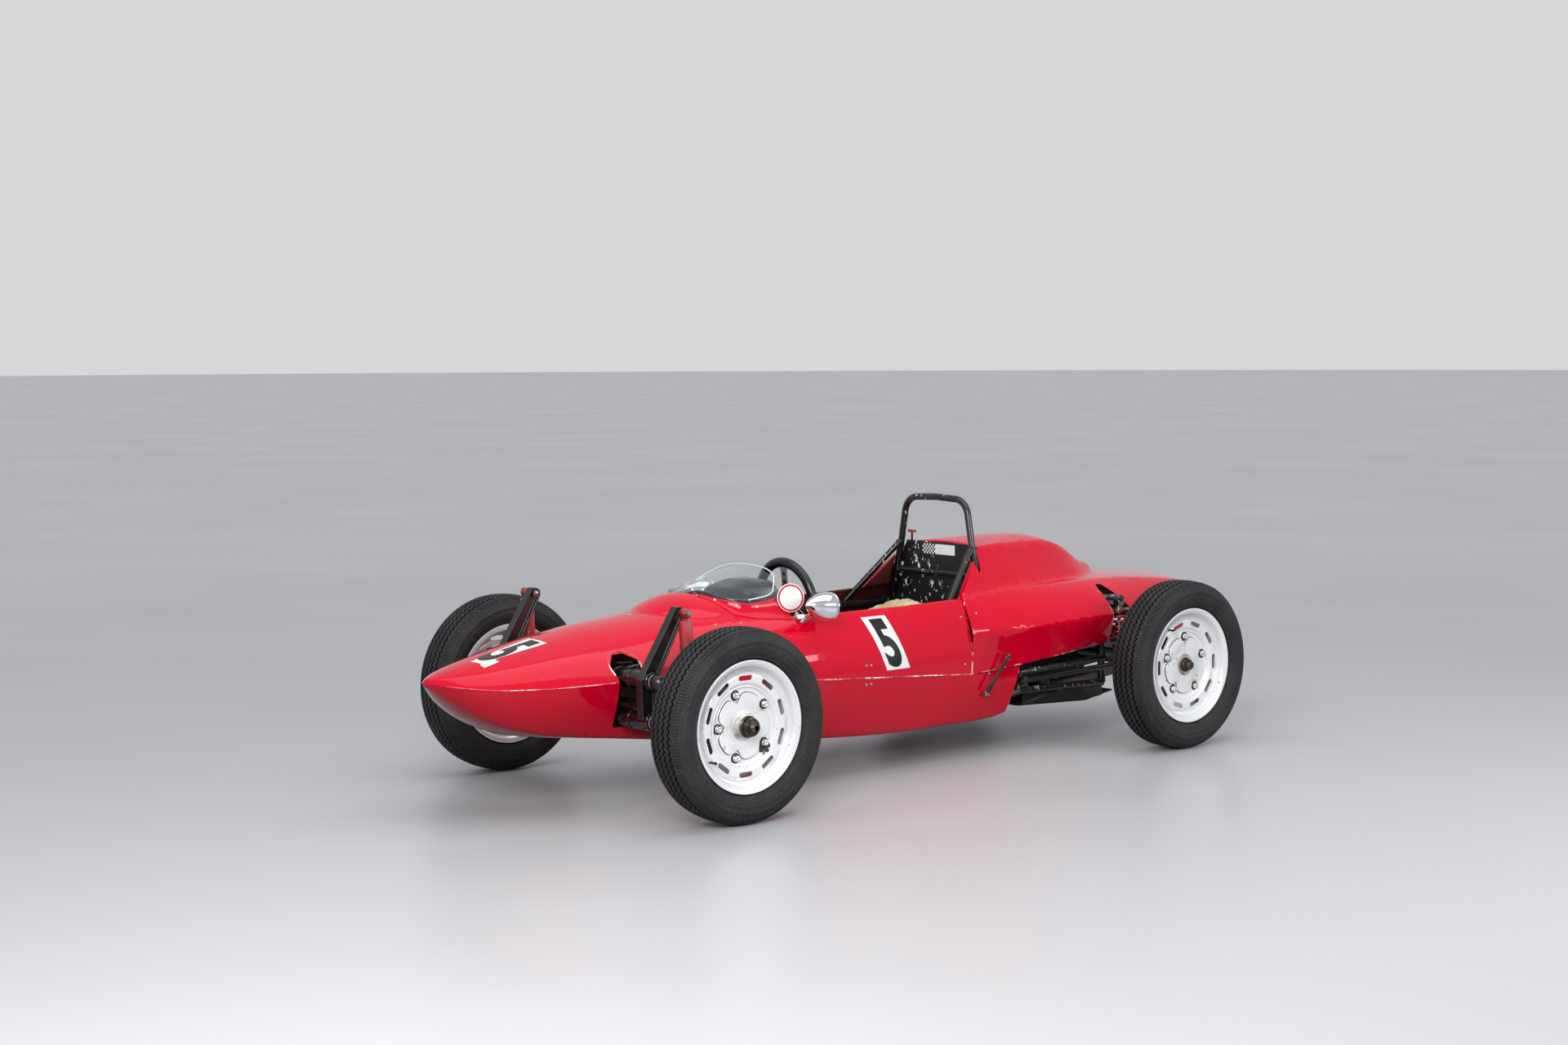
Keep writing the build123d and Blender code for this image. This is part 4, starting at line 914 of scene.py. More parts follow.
def stuffed(name, bm, swell, pressure, creases):
    """Fill a pad by cloth simulation, cap how far it swells, then press in its sewn channels."""
    mesh = bpy.data.meshes.new(name)
    bm.to_mesh(mesh)
    bm.free()
    pad = linked(name, mesh)
    remesh = pad.modifiers.new("remesh", "REMESH")
    remesh.mode = "VOXEL"
    remesh.voxel_size = 0.0065
    pad.data = evaluated_mesh(pad)
    pad.modifiers.clear()
    before = [v.co.copy() for v in pad.data.vertices]
    cloth = pad.modifiers.new("filling", "CLOTH")
    cloth.settings.use_pressure = True
    cloth.settings.uniform_pressure_force = pressure
    cloth.settings.effector_weights.gravity = 0
    cloth.point_cache.frame_start, cloth.point_cache.frame_end = 1, 20
    for step in range(1, 21):
        bpy.context.scene.frame_set(step)
    swollen = evaluated_mesh(pad)
    pad.modifiers.clear()
    for vert, old, new in zip(pad.data.vertices, before, swollen.vertices):
        move = new.co - old
        vert.co = old + move * min(1, swell / max(move.length, 1e-9))
    bpy.context.scene.frame_set(1)
    bm = bmesh.new()
    bm.from_mesh(pad.data)
    bpy.data.objects.remove(pad)
    bmesh.ops.smooth_vert(bm, verts=bm.verts, factor=0.5, use_axis_x=True, use_axis_y=True, use_axis_z=True)
    bmesh.ops.recalc_face_normals(bm, faces=bm.faces)
    for vert in bm.verts:
        for y in creases:
            depth = 0.006 * math.exp(-((vert.co.y - y) / 0.006) ** 2)
            vert.co = vert.co - vert.normal * depth
    return bm


class RACINGCAR_OT_seat(bpy.types.Operator):
    """Padded seat: back and base"""

    bl_idname = "racing_car.seat"
    bl_label = "Seat"

    def execute(self, context):
        pressure = context.scene.racing_car.cockpit.puff
        foot, head = Vector((-0.13, 0, 0.232)), Vector((-0.306, 0, 0.552))

        def back(u, v):
            """Leaning back, curved round the driver."""
            share = (v + 1) / 2 * (1 - 0.17 * u * u)
            middle = foot.lerp(head, share) + Vector((0.03 * u * u, u * 0.178, 0))
            return middle, Vector((0.86, 0, 0.51)).normalized()

        def base(u, v):
            """Base, sunk in the middle of its length."""
            share = (v + 1) / 2
            z = 0.2 - 0.02 * math.sin(share * math.pi)
            return Vector((-0.095 + 0.375 * share, u * 0.172, z)), Z_AXIS

        for name, form, thick in (("seat_back_pad", back, 0.062), ("seat_base_pad", base, 0.034)):
            bm = stuffed(name, pad_form(form, thick, 9), 0.01, pressure, (-0.11, -0.037, 0.037, 0.11))
            pad = as_piece(name, bm, "chassis", "padding", ["seat"], ["seat"] if form is back else (), sharp=80)
            smooth = pad.modifiers.new("smooth", "SUBSURF")
            smooth.levels = smooth.render_levels = 1
        return {"FINISHED"}


class RACINGCAR_OT_steering(bpy.types.Operator):
    """Steering wheel with slotted alloy spokes, its boss and shaft"""

    bl_idname = "racing_car.steering"
    bl_label = "Steering wheel"

    def execute(self, context):
        centre, axis, body = STEERING_CENTRE, STEERING_AXIS, "steering_wheel"
        across, up = Y_AXIS, axis.cross(Y_AXIS)
        parts("steering_grip", "black_satin", "grip", (ring, centre, axis, 0.1425, 0.0175, 96, 18, 0.92), body=body,
              replaces=["steering_wheel"], sharp=60)
        rows = ((0.02, 0.024), (0.06, 0.016), (0.105, 0.015), (0.134, 0.022))
        low = centre - axis * 0.0015
        spokes, holes = [], []
        for angle in map(math.radians, SPOKE_TURNS):
            way = across * math.cos(angle) - up * math.sin(angle)
            spokes.append((plate, strip(low, way, way.cross(axis), rows), 0.003))
            # dark discs let into both faces of the spoke stand for its lightening holes: painted shade in the holes
            for face_side in (1, -1):
                for along in (0.05, 0.076, 0.102):
                    spot = centre + way * along + axis * face_side * 0.0017
                    holes.append((ring, spot, axis, 0.0062, 0.0011, 20, 6, 0.6))
                    holes.append((rod, spot - axis * 0.0003, spot + axis * 0.0003, 0.0062, 20))
        parts("steering_spokes", "polished", "spoke", *spokes, body=body, sharp=30, bevel=0.0006)
        parts("spoke_holes_painted_shade", "black_satin", "grip", *holes, body=body)
        parts("steering_boss", "black_satin", "grip", (turned, [
            (0, 0.01), (0.02, 0.009), (0.027, 0.005), (0.029, 0.0), (0.029, -0.006), (0.018, -0.0135),
            (0, -0.0135)], centre, axis, 40), body=body)
        spots = [centre + (across * math.cos(angle) + up * math.sin(angle)) * 0.0215 + axis * 0.0078
                 for angle in (math.tau * i / 6 for i in range(6))]
        parts("boss_screws", "polished", "bright", *((hex_bolt, spot, axis, 0.006, 0.003, False) for spot in spots),
              body=body)
        refinish("steering_shaft", "frame_black", "dull_plate")
        return {"FINISHED"}


# ---------------------------------------------------------------- frame and hoop
class RACINGCAR_OT_frame(bpy.types.Operator):
    """Tube frame, roll hoop, firewall panel with its label, and the pull handle"""

    bl_idname = "racing_car.frame"
    bl_label = "Frame and roll hoop"

    def execute(self, context):
        refinish("chassis_frame", "frame_black", "black")
        refinish("roll_hoop", "frame_black", "black")
        refinish("firewall_panel", "frame_black", "sheet")
        refinish("pull_knob", "handle_red", "red_enamel")
        welds = []
        for side in (1, -1):
            brace = Vector((0.218, side * 0.078, -0.223)).normalized()
            welds.append((ring, Vector((HOOP_X, side * 0.184, 0.745)) + brace * 0.0135, brace, 0.0122, 0.0026, 32, 8))
            welds.append((ring, (HOOP_X, side * 0.192, 0.636), Y_AXIS, 0.0115, 0.0022, 24, 8))
        parts("hoop_weld_beads", "frame_black", "black", *welds)
        rivets = ((-0.158, 0.708), (0.162, 0.69), (-0.198, 0.61), (0.198, 0.61), (-0.15, 0.585),
                  (0.15, 0.585), (-0.05, 0.585), (0.05, 0.585))
        parts("firewall_rivets", "polished", "dull_plate",
              *((round_screw, (PANEL_FRONT_X, y, z), X_AXIS, 0.0045) for y, z in rivets))
        # white label with a plain chequer at its right hand end
        parts("label_white", "frame_black", "white",
              (block, (PANEL_FRONT_X + 0.0004, 0.0, 0.72), (0.0008, 0.168, 0.037)))
        square = 0.0074
        parts("label_checks", "frame_black", "figure", *(
            (block, (PANEL_FRONT_X + 0.0009, -0.08 + square * column, 0.7052 + square * row),
             (0.0006, square, square)) for row in range(5) for column in range(9) if (row + column) % 2 == 0))
        return {"FINISHED"}


# ---------------------------------------------------------------- wheels
def tyre_profile(depth):
    """Outer profile of a tyre, as (radius, across, waved) rows from bead to bead."""
    wall = ((0.191, 0.0485), (0.2095, 0.0485), (0.214, 0.056), (0.2155, 0.06), (0.219, 0.0615), (0.222, 0.063),
            (0.2235, 0.0655), (0.232, 0.07), (0.2335, 0.0712), (0.236, 0.0712), (0.2375, 0.0716), (0.2435, 0.0729),
            (0.2445, 0.0737), (0.2462, 0.0738), (0.2472, 0.0736), (0.255, 0.0743), (0.262, 0.0742), (0.2635, 0.075),
            (0.2665, 0.0746), (0.268, 0.0732), (0.28, 0.0698), (0.2875, 0.0658), (0.292, 0.0625), (0.2965, 0.0583),
            (0.3005, 0.054))

    def crown(y):
        """Radius of the tread, which falls a little towards the shoulders."""
        return 0.306 - 0.0055 * (y / 0.054) ** 2

    rows = [(r, y, 0) for r, y in wall]
    rib = 0.012
    for groove in (0.036, 0.012):
        for across, drop in ((0.003, 0), (0.0021, 1), (-0.0021, 1), (-0.003, 0)):
            y = groove + across
            rows.append((crown(y) - drop * depth, y, 1))
        rows.append((crown(groove - rib), groove - rib, 0))
    half = rows[:-1]
    return half + [(crown(0.0), 0.0, 0)] + [(r, -y, w) for r, y, w in reversed(half)]


def tyre_piece(name, settings):
    """Crossply tyre with waved ribs, shoulder notches and ringed side walls."""
    centre, _, body = wheel_place(name)
    rows = tyre_profile(settings.groove_depth)
    inside = [(0.191, -0.036), (0.216, -0.037), (0.252, -0.065), (0.288, -0.05), (0.296, 0.0), (0.288, 0.05),
              (0.252, 0.065), (0.216, 0.037), (0.191, 0.036)]
    bm = bmesh.new()
    steps = settings.waves * 4
    turned(bm, [(r, y) for r, y, _ in rows] + inside, centre, Y_AXIS, steps, closed=True)
    waved = {round(y, 5) for r, y, w in rows if w}
    across, up = cross_frame(Y_AXIS)

    def step_of(offset):
        """Which step of the spin a point of the tyre lies at."""
        return (math.atan2(offset.dot(up), offset.dot(across)) / math.tau * steps) % steps

    for vert in bm.verts:
        offset = vert.co - centre
        if round(offset.y, 5) in waved and math.hypot(offset.x, offset.z) > 0.29:
            vert.co.y += (0, 1, 0, -1)[round(step_of(offset)) % 4] * settings.wave
    notches = []
    for face in bm.faces:
        offset = face.calc_center_median() - centre
        radius = math.hypot(offset.x, offset.z)
        on_shoulder = 0.289 < radius < 0.3005 and 0.0545 < abs(offset.y) < 0.0645
        in_groove = 0.2965 < radius < 0.3026 and abs(offset.y) < 0.0437
        if on_shoulder and int(step_of(offset)) % 2:
            notches.append(face)
        # faces in the grooves take the near-black finish: painted shade in the grooves
        elif in_groove and not on_shoulder:
            face.material_index = 1
    bmesh.ops.inset_region(bm, faces=notches, thickness=0.0015, depth=-0.003, use_even_offset=True)
    as_piece(f"tyre_{name}_treaded", bm, body, "tyre_rubber", ["tyre", "groove"], ["tyre_" + name], sharp=40)


def hub_distances(piece, centre):
    """Store each point's distance from the axle, for the grease round the hub."""
    attribute = piece.data.attributes.new("hub_distance", "FLOAT", "POINT")
    distances = [math.hypot(v.co.x - centre.x, v.co.z - centre.z) for v in piece.data.vertices]
    attribute.data.foreach_set("value", distances)


def from_axle(centre, turn, radius, away):
    """Point at a radius from the axle, turned from straight ahead towards the top, and away along the axle."""
    return centre + X_AXIS * math.cos(turn) * radius + Z_AXIS * math.sin(turn) * radius + away


def star_radius(turn, first_bolt, bolt_circle):
    """Radius of the raised centre: full between the five bolts, scooped out round each of them."""
    off = (turn - first_bolt + math.tau / 10) % (math.tau / 5) - math.tau / 10
    return 0.104 - 0.027 * math.exp(-(bolt_circle * off / 0.021) ** 2)


def rim_piece(name, settings):
    """Slotted steel wheel with its lobed centre pressing, rolled flange and bolts."""
    centre, out, body = wheel_place(name)
    front = name.startswith("front")
    hub_distances(refinish("rim_" + name, "wheel_silver", "silver", sharp=28), centre)
    # rolled flange lip and the round swages inside and outside the slots
    swages = parts(f"rim_{name}_swages", "wheel_silver", "silver", *(
        (ring, centre + out * away, out, radius, thick, 120, sides) for away, radius, thick, sides in (
            (0.0545, 0.2045, 0.0028, 10), (0.0465, 0.187, 0.002, 8), (WHEEL_FACE + 0.0035, 0.1235, 0.003, 10))),
        body=body, sharp=60)
    hub_distances(swages, centre)
    first_bolt = 0 if front else math.radians(90)
    # raised centre, with a fine dark line at its foot: painted shade under the step
    for part, grow, rise, finish, slot, bevel in (
            ("centre", 0.0, 0.0045, "silver", "wheel_silver", 0.001),
            ("centre_shadow", 0.0022, 0.0006, "groove", "drum_metal", 0)):
        bm = bmesh.new()
        made = bmesh.ops.create_circle(bm, cap_ends=True, cap_tris=False, segments=200, radius=1)
        for vert in made["verts"]:
            turn = math.atan2(vert.co.y, vert.co.x)
            radius = star_radius(turn, first_bolt, settings.bolt_circle) + grow
            vert.co = from_axle(centre, turn, radius, out * (WHEEL_FACE - 0.0005))
        face = bm.faces[:][0]
        face.normal_update()
        if face.normal.dot(out) < 0:
            face.normal_flip()
        cap = grown(bm, face, out * (rise + 0.0005))
        bmesh.ops.inset_region(bm, faces=[cap], thickness=0.003, depth=0.0004, use_even_offset=False)
        bmesh.ops.recalc_face_normals(bm, faces=bm.faces)
        hub_distances(as_piece(f"rim_{name}_{part}", bm, body, slot, [finish], sharp=50, bevel=bevel), centre)
    spots = [from_axle(centre, first_bolt + math.tau * i / 5, settings.bolt_circle, out * WHEEL_FACE)
             for i in range(5)]
    bolt = [(0.0112, 0), (0.0112, 0.004), (0.01, 0.006), (0.0094, 0.0066), (0.0094, 0.0122), (0.0084, 0.0142),
            (0.0062, 0.0152), (0.0046, 0.015), (0.0044, 0.011), (0, 0.011)]
    parts(f"wheel_bolts_{name}", "wheel_silver", "bright", *((turned, bolt, spot, out, 24) for spot in spots),
          body=body)
    seat = [(0.0168, -0.001), (0.0168, 0.001), (0.016, 0.0014), (0, 0.0014)]
    parts(f"bolt_seats_{name}", "drum_metal", "dark_steel", *((turned, seat, spot, out, 28) for spot in spots),
          body=body)
    # black dishes in the few small holes of the disc: painted shade inside the holes
    holes = ((-37, 0.098, 0.0042),) if front else ((28, 0.054, 0.004), (-145, 0.082, 0.004))
    parts(f"wheel_holes_{name}", "drum_metal", "grip", *(
        (turned, [(hole + 0.0012, -0.001), (hole + 0.0012, 0.0003), (hole, 0.0003), (hole - 0.0004, -0.0008),
                  (0, -0.0008)], from_axle(centre, math.radians(turn), radius, out * (WHEEL_FACE + 0.0048)), out, 20)
        for turn, radius, hole in holes), body=body)
    stem, neck, tip = (from_axle(centre, first_bolt - math.radians(36), 0.166, out * away)
                       for away in (0.018, 0.05, 0.056))
    parts(f"valve_{name}", "strap_rubber", "strap", (rod, stem, neck, 0.004, 14, 0.0034),
          (rod, neck, tip, 0.0046, 14), body=body)


def hub_piece(name):
    """Finned brake drum, greasy hub, stub axle and its nut."""
    centre, out, body = wheel_place(name)
    refinish("drum_" + name, "drum_metal", "iron", sharp=30)
    if name.startswith("front"):
        collar = [(0.047, 0.024), (0.0465, 0.029), (0.043, 0.0305), (0.038, 0.031), (0.0365, 0.033),
                  (0.0355, 0.043), (0.0345, 0.0452), (0.03, 0.0458), (0, 0.0458)]
        cap = [(0.0284, 0.0448), (0.0286, 0.046), (0.0286, 0.069), (0.027, 0.0712), (0.0222, 0.074),
               (0.012, 0.0744), (0.0102, 0.0752), (0.0092, 0.077), (0.0092, 0.0866), (0.0082, 0.088), (0, 0.088)]
        pin = centre + out * 0.0816
        nut = [(turned, cap, centre, out, 40), *(
            (rod, pin + X_AXIS * side * 0.006, pin + X_AXIS * side * 0.0135, 0.0015, 8) for side in (1, -1))]
    else:
        collar = [(0.04, 0.024), (0.0395, 0.0275), (0.036, 0.0285), (0.03, 0.0288), (0, 0.0288)]
        seat, pin = centre + out * 0.0282, centre + out * 0.0472
        nut = [(hex_bolt, seat, out, 0.036, 0.016), *(
            (rod, from_axle(seat, math.tau * i / 6, 0.015, out * 0.012),
             from_axle(seat, math.tau * i / 6, 0.015, out * 0.0215), 0.0046, 8) for i in range(6)),
            (rod, seat + out * 0.01, centre + out * 0.0572, 0.009, 20),
            (rod, pin - X_AXIS * 0.022, pin + X_AXIS * 0.022, 0.0018, 8)]
    hub_distances(parts(f"hub_collar_{name}", "wheel_silver", "silver", (turned, collar, centre, out, 48), body=body),
                  centre)
    parts(f"axle_nut_{name}", "drum_metal", "dark_steel", *nut, body=body, bevel=0.0004)


class RACINGCAR_OT_wheels(bpy.types.Operator):
    """Tyres, wheels, drums and hubs"""

    bl_idname = "racing_car.wheels"
    bl_label = "Wheels"

    def execute(self, context):
        settings = context.scene.racing_car.wheels
        for name in WHEELS:
            tyre_piece(name, settings)
            rim_piece(name, settings)
            hub_piece(name)
        return {"FINISHED"}


# ---------------------------------------------------------------- front axle
class RACINGCAR_OT_front_axle(bpy.types.Operator):
    """Beam, shock towers, trailing arms, shocks, knuckles and track rods"""

    bl_idname = "racing_car.front_axle"
    bl_label = "Front axle"

    def execute(self, context):
        self.beam()
        self.towers()
        for name, side in SIDES:
            self.corner(name, side)
        refinish("tie_rods", "frame_black", "clean_black")
        nuts = []
        for side in (1, -1):
            nuts.append((hex_bolt, (1.16, side * 0.54, 0.36), Z_AXIS, 0.014, 0.008))
            nuts += [(rod, (1.16, side * y, 0.35), (1.16, side * (y - 0.014), 0.35), 0.0115, 6)
                     for y in (0.47, 0.3)]
        parts("track_rod_nuts", "polished", "dull_plate", *nuts, body="track_rods")
        refinish("steering_box", "frame_black", "cast")
        parts("steering_box_bolts", "polished", "dull_plate", *(
            (hex_bolt, (x, y, 0.528), Z_AXIS, 0.011, 0.006) for y in (-0.028, 0.028) for x in (1.148, 1.19)))
        return {"FINISHED"}

    def beam(self):
        """Two tubes with their clamps, bands, grub screws and the webs that tie them together."""
        tube = [(0, -0.425), (0.028, -0.425), (0.03, -0.423), (0.03, 0.423), (0.028, 0.425), (0, 0.425)]
        shapes = []
        for z in BEAM_Z:
            shapes.append((turned, tube, (BEAM_X, 0, z), Y_AXIS, 40))
            for side in (1, -1):
                shapes.append((block, (BEAM_X - 0.044, side * 0.15, z), (0.044, 0.04, 0.044)))
                shapes += [(ring, (BEAM_X, side * y, z), Y_AXIS, 0.03, 0.003, 40, 8) for y in (0.25, 0.33)]
                shapes.append((hex_bolt, (BEAM_X + 0.0295, side * 0.29, z), X_AXIS, 0.012, 0.008))
        web = (0.03, 0.006, BEAM_Z[0] - BEAM_Z[1] - 0.05)
        shapes += [(block, (BEAM_X, side * y, sum(BEAM_Z) / 2), web) for side in (1, -1) for y in (0.0, 0.36)]
        parts("beam_tubes", "frame_black", "gloss", *shapes, replaces=["front_beam"], bevel=0.0012)

    def towers(self):
        """Pressed towers that carry the shocks' upper eyes, with their bolts."""
        eye = SHOCK_EYE[0]
        side_view = [(BEAM_X - 0.024, 0.422), (eye - 0.0195, 0.63), (eye - 0.0185, 0.646), (eye - 0.011, 0.654),
                     (eye + 0.002, 0.6575), (eye + 0.0135, 0.6565), (eye + 0.0195, 0.648), (BEAM_X + 0.034, 0.438),
                     (BEAM_X + 0.028, 0.283), (BEAM_X - 0.026, 0.283)]
        bm = bmesh.new()
        for start in (0.379, -0.409):
            plate(bm, [(x, start, z) for x, z in side_view], 0.03)
        bmesh.ops.recalc_face_normals(bm, faces=bm.faces)
        for face in [f for f in bm.faces if abs(f.normal.y) > 0.9]:
            for thickness, depth in ((0.0055, 0), (0.003, -0.011)):
                bmesh.ops.inset_region(bm, faces=[face], thickness=thickness, depth=depth, use_even_offset=True)
        as_piece("shock_towers", bm, "chassis", "frame_black", ["clean_black"], sharp=30, bevel=0.0018, segments=3)
        parts("tower_bolts", "polished", "dull_plate", *(
            (hex_bolt, (x, side * 0.38, z), (0, -side, 0), 0.016, 0.009)
            for side in (1, -1) for x, z in (SHOCK_EYE, (BEAM_X - 0.004, 0.37))))

    def corner(self, name, side):
        """Trailing arms, shock and knuckle of one side, with their fittings."""
        refinish(f"front_arms_{name}", "frame_black", "clean_black")
        refinish(f"front_shock_{name}", "shock_red", "red_enamel")
        refinish(f"knuckle_{name}", "frame_black", "clean_black")
        outward = Y_AXIS * side
        low, top = (Vector((x, side * 0.434, z)) for x, z in (SHOCK_FOOT, SHOCK_EYE))
        run = (top - low).normalized()
        parts(f"shock_nuts_{name}", "polished", "dull_plate",
              *((hex_bolt, eye + outward * 0.014, outward, 0.016, 0.01) for eye in (low, top)),
              (turned, [(0.0218, -0.006), (0.0228, -0.004), (0.0228, 0.004), (0.0218, 0.006)], low + run * 0.172,
               run, 8))
        collar = [(0.0255, 0), (0.0262, 0.002), (0.0262, 0.006), (0.0255, 0.008)]
        fittings = []
        for z, pin_z in zip(BEAM_Z, KINGPIN_Z):
            fittings.append((turned, collar, (BEAM_X, side * 0.4285, z), outward, 32))
            # bolt half way along the trailing arm, which falls from the beam to the kingpin
            spot = (BEAM_X - 0.08, side * 0.4805, z - (z - pin_z) / 2)
            fittings.append((hex_bolt, spot, outward, 0.013, 0.007))
        parts(f"arm_fittings_{name}", "polished", "dull_plate", *fittings)
        parts(f"kingpin_nuts_{name}", "polished", "dull_plate", *(
            (hex_bolt, (1.045, side * 0.545, z + 0.0182), Z_AXIS, 0.018, 0.01) for z in KINGPIN_Z))


# ---------------------------------------------------------------- engine and rear
class RACINGCAR_OT_engine(bpy.types.Operator):
    """Flat engine with finned cylinders, gearbox, exhaust and tray"""

    bl_idname = "racing_car.engine"
    bl_label = "Engine"

    def execute(self, context):
        (back, _, _), (front, _, _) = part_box("engine")
        length, middle = front - back, (front + back) / 2
        parts("crankcase", "castings", "cast",
              (block, (middle, 0, 0.315), (length, 0.2, 0.23)),
              (block, (middle - 0.02, 0, 0.435), (length * 0.55, 0.12, 0.045)),
              *((block, (back + length * (0.12 + 0.125 * i), 0, 0.198), (0.006, 0.17, 0.014)) for i in range(7)),
              replaces=["engine"], bevel=0.006, segments=3)
        cylinder = [(0.046, 0)]
        for k in range(12):
            y = 0.006 + k * 0.0078
            cylinder += [(0.046, y), (0.062, y + 0.0006), (0.062, y + 0.002), (0.046, y + 0.0028)]
        cylinder += [(0.046, 0.108), (0, 0.108)]
        fins, heads, covers = [], [], []
        for side in (1, -1):
            fins += [(turned, cylinder, (back + length * along, side * 0.1, 0.31), (0, side, 0), 28)
                     for along in (0.3, 0.7)]
            heads += [(block, (middle, side * 0.222, 0.256 + k * 0.0135), (length - 0.075, 0.036, 0.004))
                      for k in range(9)]
            heads.append((block, (middle, side * 0.22, 0.31), (length - 0.1, 0.03, 0.118)))
            covers.append((block, (middle, side * 0.254, 0.3), (length - 0.085, 0.028, 0.092)))
        parts("cylinder_fins", "castings", "iron", *fins, sharp=40)
        parts("cylinder_heads", "castings", "cast", *heads, bevel=0.001)
        parts("rocker_covers", "castings", "clean_black", *covers, bevel=0.008, segments=4)
        refinish("transaxle", "castings", "cast")
        refinish("exhaust", "exhaust_steel", "exhaust")
        refinish("undertray", "black_satin", "clean_sheet")
        tip = Vector((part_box("exhaust")[0].x, 0, 0.276))
        parts("tail_pipe_lip", "exhaust_steel", "exhaust", (ring, tip + X_AXIS * 0.002, X_AXIS, 0.031, 0.0026, 40, 8))
        parts("tail_pipe_bore", "exhaust_steel", "grip",
              (rod, tip + X_AXIS * 0.004, tip - X_AXIS * 0.0002, 0.029, 40))
        return {"FINISHED"}


def coil_spring(bm, low, top, radius, wire, turns):
    """Round wire wound up an axis."""
    run = (top - low).normalized()
    across = cross_frame(run)[0]
    made = bmesh.ops.create_circle(bm, cap_ends=False, segments=10, radius=wire)
    turn = Matrix((across, run, run.cross(across))).transposed().to_4x4()
    bmesh.ops.transform(bm, matrix=Matrix.Translation(low + across * radius) @ turn, verts=made["verts"])
    edges = list({e for v in made["verts"] for e in v.link_edges})
    steps = int(turns * 28)
    bmesh.ops.spin(bm, geom=made["verts"] + edges, cent=low, axis=run, dvec=run * ((top - low).length / steps),
                   angle=math.tau * turns, steps=steps, use_merge=False, use_duplicate=False)
    bmesh.ops.holes_fill(bm, edges=[e for e in bm.edges if e.is_boundary], sides=0)
    bmesh.ops.recalc_face_normals(bm, faces=bm.faces)


class RACINGCAR_OT_rear_axle(bpy.types.Operator):
    """Swinging half axles, radius arms and coil springs over their dampers"""

    bl_idname = "racing_car.rear_axle"
    bl_label = "Rear axle"

    def execute(self, context):
        refinish("radius_arms", "frame_black", "clean_black")
        for name, side in SIDES:
            refinish(f"axle_tube_{name}", "frame_black", "clean_black")
            low, top = Vector((-1.045, side * 0.35, 0.3343)), Vector((-1.035, side * 0.35, 0.5127))
            run = (top - low).normalized()
            length = (top - low).length
            parts(f"coil_spring_{name}", "shock_red", "red_enamel",
                  (coil_spring, low + run * 0.036, top - run * 0.032, 0.0315, 0.0045, 6),
                  replaces=[f"coilover_{name}"], sharp=60)
            damper = [(0, 0.012), (0.015, 0.012), (0.015, 0.03), (0.038, 0.03), (0.039, 0.0345), (0.0165, 0.0345),
                      (0.016, 0.1), (0.0145, 0.102), (0.0145, 0.104), (0.006, 0.105), (0.006, length - 0.03),
                      (0.038, length - 0.03), (0.039, length - 0.0255), (0.012, length - 0.024),
                      (0.012, length - 0.008), (0, length - 0.008)]
            parts(f"damper_{name}", "shock_red", "dull_plate", (turned, damper, low, run, 36),
                  (block, low + Z_AXIS * 0.006, (0.044, 0.04, 0.02)),
                  (block, top - Z_AXIS * 0.004, (0.03, 0.028, 0.02)), bevel=0.0006)
        return {"FINISHED"}


# ---------------------------------------------------------------- fittings
class RACINGCAR_OT_fittings(bpy.types.Operator):
    """Mirrors and the straps that hold the engine cover down"""

    bl_idname = "racing_car.fittings"
    bl_label = "Mirrors and straps"

    def execute(self, context):
        for name, side in SIDES:
            refinish(f"mirror_{name}", "polished", "bright", sharp=40)
            back, front = Vector((0.384, side * 0.33, 0.598)), Vector((0.494, side * 0.33, 0.61))
            aft = (back - front).normalized()
            parts(f"mirror_bezel_{name}", "polished", "bright",
                  (ring, back - aft * 0.0014, aft, 0.0455, 0.0032, 56, 10))
            parts(f"mirror_glass_{name}", "polished", "mirror", (turned, [
                (0, 0.0016), (0.028, 0.0012), (0.044, 0.0002), (0.044, -0.001), (0, -0.001)], back, aft, 48))
            parts(f"mirror_foot_screws_{name}", "polished", "dull_plate", *(
                (round_screw, (0.464, side * 0.27 + y, 0.5605), Z_AXIS, 0.0036) for y in (-0.012, 0.012)))
        rows = ((0.004, 0.0066), (0.016, 0.0088), (0.034, 0.0068), (0.08, 0.0062), (0.122, 0.0068),
                (0.142, 0.0092), (0.156, 0.007))
        for name, side in SIDES:
            top, low = Vector((-0.44, side * 0.364, 0.364)), Vector((-0.352, side * 0.336, 0.228))
            way = (low - top).normalized()
            wide = way.cross(Y_AXIS * side).normalized()
            normal = wide.cross(way).normalized() * 0.0028
            parts(f"hold_down_strap_{name}", "strap_rubber", "strap",
                  (plate, strip(top - normal, way, wide, rows), 0.0056),
                  replaces=["hold_down_straps"] if side > 0 else (), bevel=0.0015)
            upper, lower = top + way * 0.012, low - way * 0.006
            parts(f"strap_hooks_{name}", "polished", "dull_plate",
                  (rod, upper - wide * 0.0125, upper + wide * 0.0125, 0.0032, 12),
                  (rod, lower - wide * 0.014, lower + wide * 0.014, 0.0036, 12),
                  (rod, (top.x, side * 0.34, top.z), (top.x, side * 0.3655, top.z), 0.005, 14),
                  (rod, (low.x, side * 0.315, low.z), (low.x, side * 0.3375, low.z), 0.0055, 14), bevel=0.0005)
        return {"FINISHED"}


